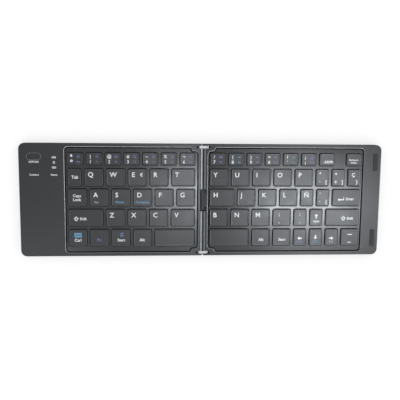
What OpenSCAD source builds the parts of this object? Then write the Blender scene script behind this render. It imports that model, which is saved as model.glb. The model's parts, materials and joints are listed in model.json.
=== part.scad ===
// Folding keyboard: two equal halves on a double-axis hinge, with scissor keys in a lowered web.
// Millimetres. +X along the keyboard to the right, +Y to the rear, +Z up. The origin lies under the
// hinge's middle, on the plane that the feet rest on.

/* [Shell] */
// Length of the open keyboard
keyboard_length = 305; // [303:0.5:316]
// Depth from the front edge to the rear edge
keyboard_depth = 95.3; // [95:0.1:99]
// Height of the shell without its feet
shell_height = 7.2; // [7.1:0.1:8.4]
// Height of the bottom cover's side wall
cover_height = 2.6; // [2.5:0.1:2.9]
// Radius of the four outer corners
corner_radius = 5; // [4:0.5:8]
// Thickness of the side walls
wall = 1.6; // [1.4:0.1:1.8]
// Thickness of the top frame's deck
deck = 1.2; // [1:0.1:1.3]
// Thickness of the bottom cover's floor
floor_thickness = 1; // [0.9:0.1:1.2]
// Open seam between the bottom cover and the top frame
seam = 0.12; // [0.08:0.01:0.2]
// Bevel on the top frame's upper edges
frame_bevel = 0.45; // [0.2:0.05:0.6]
// How far the bottom cover's underside is drawn in at its edge
belly_inset = 1.5; // [0.8:0.1:2]
// Height of the rubber feet below the shell
foot_height = 0.8; // [0.6:0.1:1.2]

/* [Hinge] */
// Height of each pivot axis below the top face, also the radius of the rounded inner edge
pivot_drop = 2.4; // [2.3:0.05:2.5]
// Gap between the halves, both open and folded
fold_gap = 0.8; // [0.7:0.05:1]
// Gap between the bottom covers, whose edges stop the unfolding
stop_gap = 0.2; // [0.15:0.05:0.3]
// Radius of the link plates' round ends
link_radius = 1.85; // [1.7:0.05:1.9]
// Thickness of a link plate
link_thickness = 2; // [1.6:0.1:2.2]
// Distance from a link's middle to the keyboard's side face
link_inset = 2.75; // [2.6:0.05:3]
// Radius of the hinge pins
pin_radius = 0.75; // [0.6:0.05:0.85]
// Reach of the pins past the link plates, inward and outward
pin_reach = [1.8, 1];
// Radial clearance of the pins in the frames' bores
pin_clearance = 0.05; // [0.03:0.01:0.08]
// Length of the cable cover
cable_cover_length = 17; // [15:0.5:20]
// Width of the flat cable
cable_width = 12; // [9:0.5:13]

/* [Key field] */
// Plain border at the right end, outside the well
end_border = 15.1; // [14.8:0.1:15.6]
// Border along the front and rear edges, outside the well
side_border = 3.05; // [2.85:0.05:3.15]
// Web in front of the bottom row
front_margin = 5.45; // [5.2:0.05:5.7]
// Web behind the number row
rear_margin = 4.7; // [4.4:0.05:5]
// Gap between rows of letter caps
row_gap = 2.6; // [2.4:0.1:2.8]
// Gap between neighbouring caps in a row
key_gap = 2.8; // [2.6:0.1:3]
// Front-to-rear size of a number-row cap
number_depth = 10.3; // [9.8:0.1:10.6]
// Gap between the number row and the letters in front of it
number_gap = 2.95; // [2.6:0.05:3.2]
// Width of the narrow caps at the right
narrow_width = 11; // [10.6:0.1:11.2]
// Width of the Tab cap
tab_width = 11; // [10.6:0.1:11.4]
// Distance from the hinge's middle to the left half's first caps
left_key_start = 7; // [6.8:0.1:7.4]
// Distance from the hinge's middle to the right half's first caps
right_key_start = 5.8; // [5.7:0.1:6.2]
// Extra width of the V, T and H caps, which fill out their rows at the hinge
hinge_cap_extra = [4.7, 4.3, 5.3];
// Web outside the caps at the outer end of a row
end_margin = 2.5; // [2:0.1:2.8]
// Gap round a cap in the web
cap_clearance = 0.45; // [0.3:0.05:0.55]

/* [Keys] */
// Height of a cap from its skirt to its top
cap_height = 2.8; // [2.6:0.1:2.9]
// Thickness of a cap's top
cap_roof = 1.2; // [0.9:0.1:1.3]
// Thickness of a cap's skirt
cap_wall = 1; // [0.8:0.1:1.1]
// Radius of a cap's corners
cap_radius = 1.3; // [0.8:0.1:1.6]
// Bevel round a cap's top
cap_bevel = 0.35; // [0.2:0.05:0.5]
// Height of the caps above the deck
cap_rise = 0.1; // [0:0.05:0.2]
// Length of the homing bars
homing_length = 3; // [2:0.5:4]

/* [Web] */
// Distance from the hinge's middle to the well
well_start = 4.1; // [4.05:0.05:4.2]
// Thickness of the web
web_thickness = 1; // [0.8:0.1:1.2]
// Height of the web's visible plate above its flange
web_step = 0.3; // [0.1:0.05:0.5]
// Open line between the visible plate and the well's rim
web_line = 0.8; // [0.5:0.05:0.9]
// Bevel on the visible plate's outer edge
web_bevel = 0.2; // [0.05:0.05:0.25]
// Width of the flange under the deck
flange = 0.8; // [0.5:0.1:1]
// Radius of the well's outer corners
well_radius = 3; // [2:0.5:4]
// Length of the hinge knuckles
knuckle_length = 10; // [9.8:0.1:10.4]
// How far the hinge knuckles reach into the well from its front and rear edges
knuckle_step = 3; // [2.8:0.05:3.1]

/* [Inside] */
// Height of the base plate above the floor
plate_gap = 0.8; // [0.7:0.05:0.9]
// Thickness of the steel base plate
plate_thickness = 0.4; // [0.3:0.05:0.5]
// Thickness of the rubber dome sheet
sheet_thickness = 0.3; // [0.2:0.05:0.35]
// Radius of a dome at its foot
dome_radius = 2.8; // [2.4:0.1:2.9]
// Width of a scissor frame's bars
scissor_bar = 0.7; // [0.6:0.05:0.8]
// Battery length, width and thickness
battery_size = [23, 44, 3.2];
// Front edge of the circuit board, from the keyboard's middle
board_front = 12; // [11:0.5:14]
// Thickness of the circuit board
board_thickness = 0.8; // [0.6:0.1:1]
// Height of the board's posts
post_height = 1.8; // [1.6:0.1:1.9]
// Width, height and depth of the charging socket
socket_size = [7.6, 2.3, 5.6];
// Radius of the screws' shanks
screw_radius = 0.75; // [0.6:0.05:0.8]

/* [Controls] */
// Distance from the outer side to the power slider's opening and to the button
control_inset = 12.4; // [12:0.1:12.8]
// Distance from the rear side to the power slider's opening
slider_inset = 11.05; // [10.8:0.05:11.4]
// Length of the slider's opening
slider_opening = 10.8; // [10:0.1:11.4]
// Length of the slider's knob
slider_knob = 8; // [7.4:0.1:8.4]
// Width of the slider's opening
slider_width = 4.8; // [4.4:0.1:5.2]
// Distance from the power slider's opening forward to the connect button
button_spacing = 9.8; // [9.4:0.1:10.2]
// Radius of the connect button
button_radius = 3; // [2.6:0.1:3.2]
// Distance from the left well to the status lights
light_gap = 8.4; // [8:0.1:8.8]
// Distance between the status lights
light_pitch = 4.2; // [4:0.1:4.4]

/* [Rubber pads] */
// Length of a foot
foot_length = 14; // [10:1:18]
// Width of a foot
foot_width = 5; // [4:0.5:6]
// Width of a bumper pad on the right end
bumper_width = 4; // [3:0.5:5]
// Length of a bumper pad
bumper_length = 14.5; // [12:0.5:16]
// Height of the bumper pads above the deck
bumper_rise = 0.4; // [0.2:0.05:0.5]

/* [Hidden] */
LETTERS_LEFT = ["key_q", "key_w", "key_e", "key_r", "key_t", "key_a", "key_s", "key_d", "key_f", "key_g",
    "key_z", "key_x", "key_c", "key_v"];
LETTERS_RIGHT = ["key_y", "key_u", "key_i", "key_o", "key_p", "key_h", "key_j", "key_k", "key_l", "key_ene",
    "key_b", "key_n", "key_m"];
$fn = 48;
arc_steps = 5;
beyond = 1;

// Heights, from the plane that the feet rest on
top_z = foot_height + shell_height;
split_z = foot_height + cover_height;
frame_z = split_z + seam;
deck_z = top_z - deck;
floor_z = foot_height + floor_thickness;
plate_z = floor_z + plate_gap;
sheet_z = plate_z + plate_thickness;
switch_z = sheet_z + sheet_thickness;
cap_top_z = top_z + cap_rise;
cap_under_z = cap_top_z - cap_roof;
cap_skirt_z = cap_top_z - cap_height;
pivot_z = top_z - pivot_drop;
board_z = floor_z + post_height;
board_top_z = board_z + board_thickness;
boss_top_z = deck_z - web_thickness - 0.1;
web_top_z = deck_z + web_step;

// Plan sizes
half_l = keyboard_length / 2;
half_d = keyboard_depth / 2;
edge_x = fold_gap / 2;
pivot_x = edge_x + pivot_drop;
stop_x = stop_gap / 2;
link_y = half_d - link_inset;
link_room = 0.15;
pin_entry = 0.8;
cover_room = 0.9;
slot_x = pivot_x + link_radius + 1;
notch_x = well_start - 1.6;
key_pitch = (half_l - end_border - end_margin - right_key_start - 3 * narrow_width - 2 * key_gap) / 5;
letter_cap = key_pitch - key_gap;
left_row_length = 5 * key_pitch + hinge_cap_extra[1] + tab_width;
right_row_length = 5 * key_pitch + 3 * narrow_width + 2 * key_gap;
number_width = (left_row_length - 6 * key_gap) / 7;
left_well_end = left_key_start + left_row_length + end_margin;
right_well_end = half_l - end_border;
well_half_depth = half_d - side_border;
knuckle_side = well_half_depth - knuckle_step;
cap_depth = (2 * well_half_depth - front_margin - rear_margin - 3 * row_gap - number_gap
    - number_depth) / 4;
row_pitch = cap_depth + row_gap;
bottom_row_y = front_margin + cap_depth / 2 - well_half_depth;
slider_y = half_d - slider_inset;
button_y = slider_y - button_spacing;
light_x = left_well_end + light_gap;
space_cap = 2 * letter_cap + 3;
scissor_room = 0.45;
scissor_thickness = 0.6;
screw_top_z = frame_z + 1.9;
pilot_clearance = 0.05;

// Rows of caps, from the hinge outward and from the bottom row up: the cap's node and its width.
// A cap of width 0 fills the rest of its row, and a node of "" is a stretch of web.
LEFT_ROWS = [
    [["left_space_key", space_cap], ["left_side_keys", letter_cap], ["left_side_keys", letter_cap],
     ["left_side_keys", letter_cap], ["left_side_keys", 0]],
    [["key_v", letter_cap + hinge_cap_extra[0]], ["key_c", letter_cap], ["key_x", letter_cap],
     ["key_z", letter_cap], ["left_side_keys", 0]],
    [["key_g", letter_cap], ["key_f", letter_cap], ["key_d", letter_cap], ["key_s", letter_cap],
     ["key_a", letter_cap], ["left_side_keys", 0]],
    [["key_t", letter_cap + hinge_cap_extra[1]], ["key_r", letter_cap], ["key_e", letter_cap],
     ["key_w", letter_cap], ["key_q", letter_cap], ["left_side_keys", 0]],
    [for (i = [1:7]) ["left_number_keys", i < 7 ? number_width : 0]]];
RIGHT_ROWS = [
    [["right_space_key", space_cap], ["right_side_keys", letter_cap], ["right_side_keys", letter_cap],
     ["right_side_keys", narrow_width], ["right_side_keys", narrow_width],
     ["right_side_keys", narrow_width], ["right_side_keys", 0]],
    [["key_b", letter_cap], ["key_n", letter_cap], ["key_m", letter_cap], ["right_side_keys", letter_cap],
     ["right_side_keys", narrow_width], ["right_side_keys", narrow_width], ["right_side_keys", 0]],
    [["key_h", letter_cap + hinge_cap_extra[2]], ["key_j", letter_cap], ["key_k", letter_cap],
     ["key_l", letter_cap], ["key_ene", narrow_width], ["right_side_keys", narrow_width],
     ["right_side_keys", 0]],
    [["key_y", letter_cap], ["key_u", letter_cap], ["key_i", letter_cap], ["key_o", letter_cap],
     ["key_p", letter_cap], ["right_side_keys", narrow_width], ["right_side_keys", narrow_width],
     ["right_side_keys", 0]],
    concat([for (i = [1:7]) ["right_number_keys", number_width]],
           [["", right_row_length - 8 * number_width - 8 * key_gap], ["right_number_keys", 0]])];

function row_depth(row) = row < 4 ? cap_depth : number_depth;
function row_y(row) = row < 4 ? bottom_row_y + row * row_pitch
    : bottom_row_y + 3 * row_pitch + cap_depth / 2 + number_gap + number_depth / 2;
function before(entries, i) = i == 0 ? 0 : entries[i - 1][1] + key_gap + before(entries, i - 1);
function cap_width(entries, i, row_length) = entries[i][1] > 0 ? entries[i][1]
    : row_length - before(entries, i);

// Every cap of a half: its node, middle x outward from the hinge, middle y, width and depth
function caps(rows, start, row_length) = [
    for (row = [0:len(rows) - 1], i = [0:len(rows[row]) - 1]) if (rows[row][i][0] != "")
        let (width = cap_width(rows[row], i, row_length))
        [rows[row][i][0], start + before(rows[row], i) + width / 2, row_y(row), width, row_depth(row)]];
LEFT_CAPS = caps(LEFT_ROWS, left_key_start, left_row_length);
RIGHT_CAPS = caps(RIGHT_ROWS, right_key_start, right_row_length);

function flat(p) = [p[0], p[1]];
function unit(v) = v / norm(v);
function turned(p, angle) = [p[0] * cos(angle) - p[1] * sin(angle), p[0] * sin(angle) + p[1] * cos(angle)];

// The points that round corner b, between corners a and c, to radius r
function corner_points(a, b, c, r) =
    let (u = unit(flat(a) - flat(b)), v = unit(flat(c) - flat(b)), half = acos(u * v) / 2,
         middle = flat(b) + unit(u + v) * r / sin(half),
         first = flat(b) + u * r / tan(half) - middle, last = flat(b) + v * r / tan(half) - middle,
         turn = atan2(cross(first, last), first * last))
    [for (i = [0:arc_steps]) middle + turned(first, turn * i / arc_steps)];

// A closed outline from corners written [x, y, radius]
function rounded(path) = [
    for (i = [0:len(path) - 1])
        let (b = path[i], a = path[(i + len(path) - 1) % len(path)], c = path[(i + 1) % len(path)])
        each (b[2] > 0 ? corner_points(a, b, c, b[2]) : [flat(b)])];

function box_path(width, depth, r) = [
    for (c = [[-1, -1], [1, -1], [1, 1], [-1, 1]]) [c[0] * width / 2, c[1] * depth / 2, r]];

// The outline of one half from inner_x outward, drawn in by inset on its three outer sides
function shell_path(inset, inner_x) = [
    [inner_x, inset - half_d, 0.3], [half_l - inset, inset - half_d, corner_radius - inset],
    [half_l - inset, half_d - inset, corner_radius - inset], [inner_x, half_d - inset, 0.3]];

step_radius = 1.4;
// A well's outline: its two hinge corners step in round the knuckles, with an S-shaped curve
function stepped_path(x_in, x_step, x_out, y_step, y_out, r_in, r_out, r_step) = [
    [x_in, -y_step, r_in], [x_step, -y_step, r_step[0]], [x_step, -y_out, r_step[1]],
    [x_out, -y_out, r_out], [x_out, y_out, r_out], [x_step, y_out, r_step[1]],
    [x_step, y_step, r_step[0]], [x_in, y_step, r_in]];

// The well's outline, grown by grow all round
function well_path(well_end, grow) = stepped_path(
    well_start - grow, knuckle_length - grow, well_end + grow, knuckle_side + grow, well_half_depth + grow,
    well_radius + grow, well_radius + grow, [step_radius - grow, step_radius + grow]);

// The web's flange lies under the deck on the well's outer sides, and clears the hinge side by 0.2
function flange_path(well_end) = stepped_path(
    well_start + 0.2, knuckle_length + 0.2, well_end + flange, knuckle_side - 0.2, well_half_depth + flange,
    well_radius, well_radius + flange, [step_radius, step_radius]);

// The room inside a half, under the deck
cavity_path = stepped_path(
    well_start, knuckle_length, half_l - wall, knuckle_side, half_d - wall, well_radius,
    corner_radius - wall, [step_radius, step_radius]);

// Screws: in the knuckles, halfway along the edges and in the outer corners
screw_edge_inset = 3.25;
screw_corner_inset = 5.1;
screw_knuckle_inset = 2.2;
screw_sites = [for (side = [-1, 1]) each [
    [knuckle_length - screw_knuckle_inset, side * link_y], [half_l / 2, side * (half_d - screw_edge_inset)],
    [half_l - screw_corner_inset, side * (half_d - screw_corner_inset)]]];
boss_radius = 1.9;
pillar_radius = 2.2;

module on_left() mirror([1, 0, 0]) children();
module prism(points, z, height) translate([0, 0, z]) linear_extrude(height) polygon(points);
module ring(inset, z, inner_x) prism(rounded(shell_path(inset, inner_x)), z, 0.01);
module obround(length, width, height) union() {
    translate([-(length - width) / 2, -width / 2, 0]) cube([length - width, width, height]);
    for (side = [-1, 1]) translate([side * (length - width) / 2, 0, 0]) cylinder(d = width, h = height);
}

// The space above the rounded inner edge, along the whole hinge
module edge_round_off() difference() {
    translate([edge_x - beyond, -half_d - beyond, pivot_z])
        cube([pivot_drop + beyond, 2 * (half_d + beyond), pivot_drop + beyond]);
    translate([pivot_x, 0, pivot_z]) rotate([90, 0, 0])
        cylinder(r = pivot_drop, h = 2 * half_d + 4 * beyond, center = true);
}

// Slots for the link plates, bores for the pins and the notch for the cable cover
module hinge_cuts() {
    for (side = [-1, 1]) {
        translate([edge_x - beyond, side * link_y - link_thickness / 2 - link_room, split_z - beyond])
            cube([slot_x - edge_x + beyond, link_thickness + 2 * link_room, shell_height]);
        translate([pivot_x, side * link_y, pivot_z]) rotate([-90 * side, 0, 0])
            translate([0, 0, -link_thickness / 2 - pin_reach[0] - pin_entry])
                cylinder(r = pin_radius + pin_clearance,
                         h = link_thickness + pin_reach[0] + pin_reach[1] + pin_entry + 0.1);
    }
    translate([edge_x - beyond, -cable_cover_length / 2 - cover_room, split_z - beyond])
        cube([notch_x - edge_x + beyond, cable_cover_length + 2 * cover_room, shell_height]);
}

module cable_window(x_from, z_from, z_to)
    translate([x_from, -cable_width / 2 - 0.8, z_from])
        cube([well_start + 0.2 - x_from, cable_width + 1.6, z_to - z_from]);

// A frustum between two outlines that share their point count, closed from middles on the X axis
module loft(low, high, z_low, z_high, middle_x) {
    n = len(low);
    polyhedron(
        points = concat(
            [for (p = low) [p[0], p[1], z_low]], [for (p = high) [p[0], p[1], z_high]],
            [[middle_x, 0, z_low], [middle_x, 0, z_high]]),
        faces = [for (i = [0:n - 1]) let (j = (i + 1) % n)
            each [[2 * n, i, j], [2 * n + 1, n + j, n + i], [i, n + i, j], [j, n + i, n + j]]]);
}

module well_rim(well_end) loft(
    rounded(well_path(well_end, 0)), rounded(well_path(well_end, frame_bevel + 0.05)),
    top_z - frame_bevel, top_z + 0.05, (well_start + well_end) / 2);

module frame_shell(well_end) difference() {
    hull() {
        ring(0, frame_z, edge_x);
        ring(0, top_z - frame_bevel, edge_x);
        ring(frame_bevel, top_z - 0.01, edge_x);
    }
    prism(rounded(cavity_path), frame_z - beyond, deck_z - frame_z + beyond);
    prism(rounded(well_path(well_end, 0)), deck_z - beyond, deck + 2 * beyond);
    well_rim(well_end);
    edge_round_off();
    hinge_cuts();
    cable_window(notch_x - 0.1, frame_z - beyond, pivot_z - 0.4);
}

// A shell with its screw bosses, which hang from the edge walls or from the deck
module top_frame(well_end) difference() {
    union() {
        frame_shell(well_end);
        for (p = screw_sites) if (p[0] > knuckle_length)
            translate([p[0], p[1], frame_z])
                cylinder(r = boss_radius, h = (p[0] > well_end ? deck_z + 0.1 : boss_top_z) - frame_z);
    }
    for (p = screw_sites) translate([p[0], p[1], frame_z - beyond])
        cylinder(r = screw_radius + pilot_clearance, h = screw_top_z - frame_z + beyond + 0.2);
}

module slider_opening_cut() translate([half_l - control_inset, slider_y, 0]) {
    translate([0, 0, deck_z - beyond]) obround(slider_opening, slider_width, deck + 2 * beyond);
    translate([0, 0, top_z - 0.3]) obround(slider_opening + 1.2, slider_width + 1.2, beyond);
}

light_sizes = [[3.5, 1.7], [1.7, 2.2], [3.5, 1.7]];
module light_bars(z, height, room)
    for (i = [0:2]) translate([light_x, slider_y - 0.8 - i * light_pitch, 0])
        prism(rounded(box_path(light_sizes[i][0] + 2 * room, light_sizes[i][1] + 2 * room, 0.5)), z, height);

socket_x = left_well_end + 12.7;
socket_mid_z = board_top_z + socket_size[1] / 2;
module socket_body(room, y_from, y_to)
    translate([socket_x, y_to, socket_mid_z]) rotate([90, 0, 0])
        linear_extrude(y_to - y_from)
            polygon(rounded(box_path(socket_size[0] + 2 * room, socket_size[1] + 2 * room, 0.8 + room)));

module left_top_frame() color("#3c3f42") on_left() difference() {
    top_frame(left_well_end);
    slider_opening_cut();
    translate([half_l - control_inset, button_y, deck_z - beyond])
        cylinder(r = button_radius + 0.15, h = deck + 2 * beyond);
    light_bars(deck_z - beyond, deck + 2 * beyond, 0.05);
    socket_body(0.2, half_d - wall - beyond, half_d + beyond);
}

bumper_x = half_l - 5;
bumper_y = half_d - 14.9;
bumper_sunk = 0.5;
module bumper_shapes(z, height, room)
    for (side = [-1, 1]) translate([bumper_x, side * bumper_y, 0])
        prism(rounded(box_path(bumper_width + 2 * room, bumper_length + 2 * room, 1 + room)), z, height);

module right_top_frame() color("#5a5d61") difference() {
    top_frame(right_well_end);
    bumper_shapes(top_z - bumper_sunk, beyond, 0.1);
}

// Feet lie in shallow pockets near the four corners of each half
foot_sunk = 0.3;
foot_inset = 11.7;
foot_sites = [for (side = [-1, 1]) each [
    [10 + foot_length / 2, side * (half_d - foot_inset)],
    [half_l - 5 - foot_length / 2, side * (half_d - foot_inset)]]];
module foot_shapes(z, height, room)
    for (p = foot_sites) translate([p[0], p[1], z])
        obround(foot_length + 2 * room, foot_width + 2 * room, height);

screw_head_radius = 1.7;
screw_head_height = 0.95;
module screw_shape() {
    translate([0, 0, foot_height + screw_head_height])
        cylinder(r = screw_radius, h = screw_top_z - foot_height - screw_head_height);
    translate([0, 0, foot_height + 0.05])
        cylinder(r1 = screw_head_radius, r2 = screw_radius, h = screw_head_height);
}

// The tray: a rounded belly, ribs that carry the base plate, screw pillars and the hinge's sill
module bottom_cover(well_end) difference() {
    union() {
        difference() {
            hull() {
                ring(belly_inset, foot_height, stop_x);
                ring(belly_inset * 0.45, foot_height + 0.35, stop_x);
                ring(belly_inset * 0.12, foot_height + 0.9, stop_x);
                ring(0, foot_height + 1.5, stop_x);
                ring(0, split_z - 0.01, stop_x);
            }
            prism(rounded(cavity_path), floor_z, cover_height);
            cable_window(edge_x + 2, floor_z, split_z + beyond);
        }
        for (row = [0:3]) translate([14, row_y(row) + (row_pitch - 1) / 2 + (row == 3 ? 1 : 0), floor_z - 0.2])
            cube([well_end - 17, 1, plate_gap + 0.2]);
        for (p = screw_sites) if (p[0] > knuckle_length)
            translate([p[0], p[1], floor_z - 0.2]) cylinder(r = pillar_radius, h = split_z - floor_z + 0.2);
    }
    for (p = screw_sites) {
        translate([p[0], p[1], foot_height - beyond])
            cylinder(r = screw_radius + 0.2, h = cover_height + 2 * beyond);
        translate([p[0], p[1], foot_height - 0.01])
            cylinder(r1 = screw_head_radius + 0.12, r2 = screw_radius + 0.12, h = screw_head_height + 0.1);
    }
    foot_shapes(foot_height - beyond, foot_sunk + beyond, 0.1);
}

board_end = half_l - wall - 1.5;
board_posts = [[left_well_end + 6, board_front + 3], [board_end - 3, board_front + 3],
    [left_well_end + 6, half_d - 6], [board_end - 10, half_d - 6]];
module left_bottom_cover() color("#2f3134") on_left() {
    bottom_cover(left_well_end);
    for (p = board_posts) translate([p[0], p[1], floor_z - 0.2]) cylinder(r = 1.4, h = post_height + 0.2);
}
module right_bottom_cover() color("#2f3134") bottom_cover(right_well_end);

// What bevels the visible plate's outer edge
module web_edge(well_end) difference() {
    prism(rounded(well_path(well_end, 0)), web_top_z - web_bevel - 0.05, web_bevel + beyond);
    loft(rounded(well_path(well_end, 0.05 - web_line)),
         rounded(well_path(well_end, -web_line - web_bevel - 0.05)),
         web_top_z - web_bevel - 0.05, web_top_z + 0.05, (well_start + well_end) / 2);
}
module key_web(well_end, cap_list) difference() {
    union() {
        prism(rounded(flange_path(well_end)), deck_z - web_thickness, web_thickness);
        difference() {
            prism(rounded(well_path(well_end, -web_line)), deck_z - 0.1, web_step + 0.1);
            web_edge(well_end);
        }
    }
    for (c = cap_list) translate([c[1], c[2], 0])
        prism(rounded(box_path(c[3] + 2 * cap_clearance, c[4] + 2 * cap_clearance, cap_radius + cap_clearance)),
              deck_z - web_thickness - beyond, web_thickness + web_step + 2 * beyond);
}
module left_key_web() color("#37393c") on_left() key_web(left_well_end, LEFT_CAPS);
module right_key_web() color("#54575b") key_web(right_well_end, RIGHT_CAPS);

// The base plate's room from the well's ends: at the hinge, at the outer end and at the sides
plate_room = [0.6, 1.8, 0.4];
function plate_path(well_end, inset) = box_path(
    well_end - well_start - plate_room[0] - plate_room[1] - 2 * inset,
    2 * (knuckle_side - plate_room[2] - inset), 1.5);
function plate_middle(well_end) = (well_start + plate_room[0] + well_end - plate_room[1]) / 2;
module base_plate(well_end) translate([plate_middle(well_end), 0, 0])
    prism(rounded(plate_path(well_end, 0)), plate_z, plate_thickness);
module left_base_plate() color("#9a9ea3") on_left() base_plate(left_well_end);
module right_base_plate() color("#9a9ea3") base_plate(right_well_end);

// The dome sheet: one hollow bell under the middle of every cap
dome_height = cap_under_z - 0.15 - sheet_z;
dome_wall = 0.25;
plunger_radius = 1.6;
module dome_bell(wall_in) rotate_extrude() polygon([
    [0, wall_in ? -beyond : 0], [dome_radius - wall_in, wall_in ? -beyond : 0],
    [dome_radius - wall_in, sheet_thickness + 0.3 - wall_in],
    [dome_radius - 1 - wall_in, sheet_thickness + 0.6],
    [plunger_radius - wall_in, dome_height - 0.9 - wall_in],
    [plunger_radius - wall_in, dome_height - 2 * wall_in], [0, dome_height - 2 * wall_in]]);
module dome_sheet(well_end, cap_list) difference() {
    union() {
        translate([plate_middle(well_end), 0, 0])
            prism(rounded(plate_path(well_end, 0.5)), sheet_z, sheet_thickness);
        for (c = cap_list) translate([c[1], c[2], sheet_z]) dome_bell(0);
    }
    for (c = cap_list) translate([c[1], c[2], sheet_z]) dome_bell(dome_wall);
}
module left_dome_sheet() color("#8f9296") on_left() dome_sheet(left_well_end, LEFT_CAPS);
module right_dome_sheet() color("#8f9296") dome_sheet(right_well_end, RIGHT_CAPS);

// One key's scissor: an outer and an inner frame, tilted opposite ways, on a common pivot
module scissor_frame(length, width, tilt) rotate([0, tilt, 0]) difference() {
    cube([length, width, scissor_thickness], center = true);
    cube([length - 2 * scissor_bar - 0.2, width - 2 * scissor_bar, beyond], center = true);
}
module scissor(cap_w, cap_d) {
    length = min(cap_w, letter_cap) - 2 * (cap_wall + scissor_room);
    width = cap_d - 2 * (cap_wall + scissor_room);
    low = switch_z + 0.1;
    high = cap_under_z - 0.1;
    tilt = asin((high - low - scissor_thickness) / length);
    translate([0, 0, (low + high) / 2]) {
        difference() {
            scissor_frame(length, width, tilt);
            rotate([90, 0, 0]) cylinder(r = 0.25, h = width + beyond, center = true);
        }
        scissor_frame(length, width - 2 * scissor_bar - 0.4, -tilt);
        for (side = [-1, 1]) translate([0, side * (width / 2 - scissor_bar - 0.4), 0])
            rotate([-90 * side, 0, 0]) cylinder(r = 0.2, h = scissor_bar + 0.3);
    }
}
module scissors(cap_list) for (c = cap_list) translate([c[1], c[2], 0]) scissor(c[3], c[4]);
module left_scissors() color("#d8d8d4") on_left() scissors(LEFT_CAPS);
module right_scissors() color("#d8d8d4") scissors(RIGHT_CAPS);

homing_inset = 3.3;
// A keycap: a rounded block under two bevelled roofs, hollow below
function roof_path(size) = [
    [-size / 2 - 1, -0.1], [size / 2 + 1, -0.1], [size / 2 + 1, cap_height - cap_bevel - 1],
    [size / 2 - cap_bevel, cap_height], [cap_bevel - size / 2, cap_height],
    [-size / 2 - 1, cap_height - cap_bevel - 1]];
module keycap(width, depth, homing) translate([0, 0, cap_skirt_z]) {
    difference() {
        intersection() {
            prism(rounded(box_path(width, depth, cap_radius)), 0, cap_height + beyond);
            translate([0, depth, 0]) rotate([90, 0, 0]) linear_extrude(2 * depth) polygon(roof_path(width));
            translate([-width, 0, 0]) rotate([90, 0, 90]) linear_extrude(2 * width) polygon(roof_path(depth));
        }
        prism(rounded(box_path(width - 2 * cap_wall, depth - 2 * cap_wall, 0.6)),
              -beyond, cap_height - cap_roof + beyond);
    }
    if (homing) translate([-homing_length / 2, -depth / 2 + homing_inset, cap_height - 0.1])
        cube([homing_length, 0.6, 0.25]);
}
module key_set(cap_list, name) for (c = cap_list) if (c[0] == name)
    translate([c[1], c[2], 0]) keycap(c[3], c[4], name == "key_f" || name == "key_j");
module left_keys(name) color("#45484c") on_left() key_set(LEFT_CAPS, name);
module right_keys(name) color("#5f6266") key_set(RIGHT_CAPS, name);

battery_x = left_well_end + 3.2;
module battery() color("#a8adb3") on_left()
    translate([battery_x + battery_size[0] / 2, board_front - 3 - battery_size[1] / 2, 0])
        prism(rounded(box_path(battery_size[0], battery_size[1], 1.5)), floor_z, battery_size[2]);

// Parts on the board, and the button's stem that stands clear of its switch
board_part_height = 0.7;
button_stem_z = board_top_z + board_part_height + 0.45;
module main_board() color("#1f5a3a") on_left() {
    difference() {
        union() {
            translate([left_well_end + 2.5, board_front, board_z])
                cube([board_end - left_well_end - 2.5, half_d - wall - 1 - board_front, board_thickness]);
            translate([half_l - control_inset - 4, slider_y - 1.7, board_top_z - 0.1]) cube([8, 3.4, 1.2]);
            translate([half_l - control_inset - 2, button_y - 2, board_top_z - 0.1])
                cube([4, 4, board_part_height + 0.1]);
            for (i = [0:2])
                translate([light_x - 0.8, slider_y - 1.2 - i * light_pitch, board_top_z - 0.1])
                    cube([1.6, 0.8, board_part_height]);
            translate([half_l - control_inset - 3, board_front + 2, board_top_z - 0.1]) cube([6, 6, 1]);
        }
        for (p = screw_sites) translate([p[0], p[1], board_z - beyond])
            cylinder(r = pillar_radius + 0.2, h = 3 * beyond);
    }
}

module charging_socket() color("#c3c6ca") on_left() {
    difference() {
        socket_body(0, half_d - 0.5 - socket_size[2], half_d - 0.5);
        socket_body(-0.3, half_d - 0.5 - socket_size[2] + 0.6, half_d + beyond);
    }
    translate([socket_x - 2.6, half_d - socket_size[2] - 0.1, socket_mid_z - 0.3]) cube([5.2, 4.2, 0.6]);
}

slider_travel = slider_opening - slider_knob - 0.4;
module power_slider() color("#2a2b2d") on_left()
    translate([half_l - control_inset - slider_travel / 2, slider_y, 0]) {
        translate([0, 0, deck_z - 0.2]) obround(slider_knob, slider_width - 0.4, deck + 0.15);
        translate([0, 0, deck_z - 0.8]) obround(slider_opening + 1.8, slider_width + 1.4, 0.7);
        for (i = [-1:1]) translate([i * 1.3 - 0.25, -1.2, top_z - 0.1]) cube([0.5, 2.4, 0.25]);
    }

module connect_button() color("#37393c") on_left()
    translate([half_l - control_inset, button_y, 0]) {
        translate([0, 0, deck_z - 0.2]) cylinder(r = button_radius, h = deck + 0.3);
        translate([0, 0, deck_z - 0.8]) cylinder(r = button_radius + 0.6, h = 0.7);
        translate([0, 0, button_stem_z]) cylinder(r = 1, h = deck_z - 0.5 - button_stem_z);
    }

module status_lights() color("#e8ecef") on_left()
    light_bars(board_top_z + 0.8, top_z - board_top_z - 0.8, 0);

module bumper_pads() color("#2b2c2f") bumper_shapes(top_z - bumper_sunk, bumper_sunk + bumper_rise, 0);
module left_feet() color("#222325") on_left() foot_shapes(0, foot_height + foot_sunk, 0);
module right_feet() color("#222325") foot_shapes(0, foot_height + foot_sunk, 0);

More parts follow.
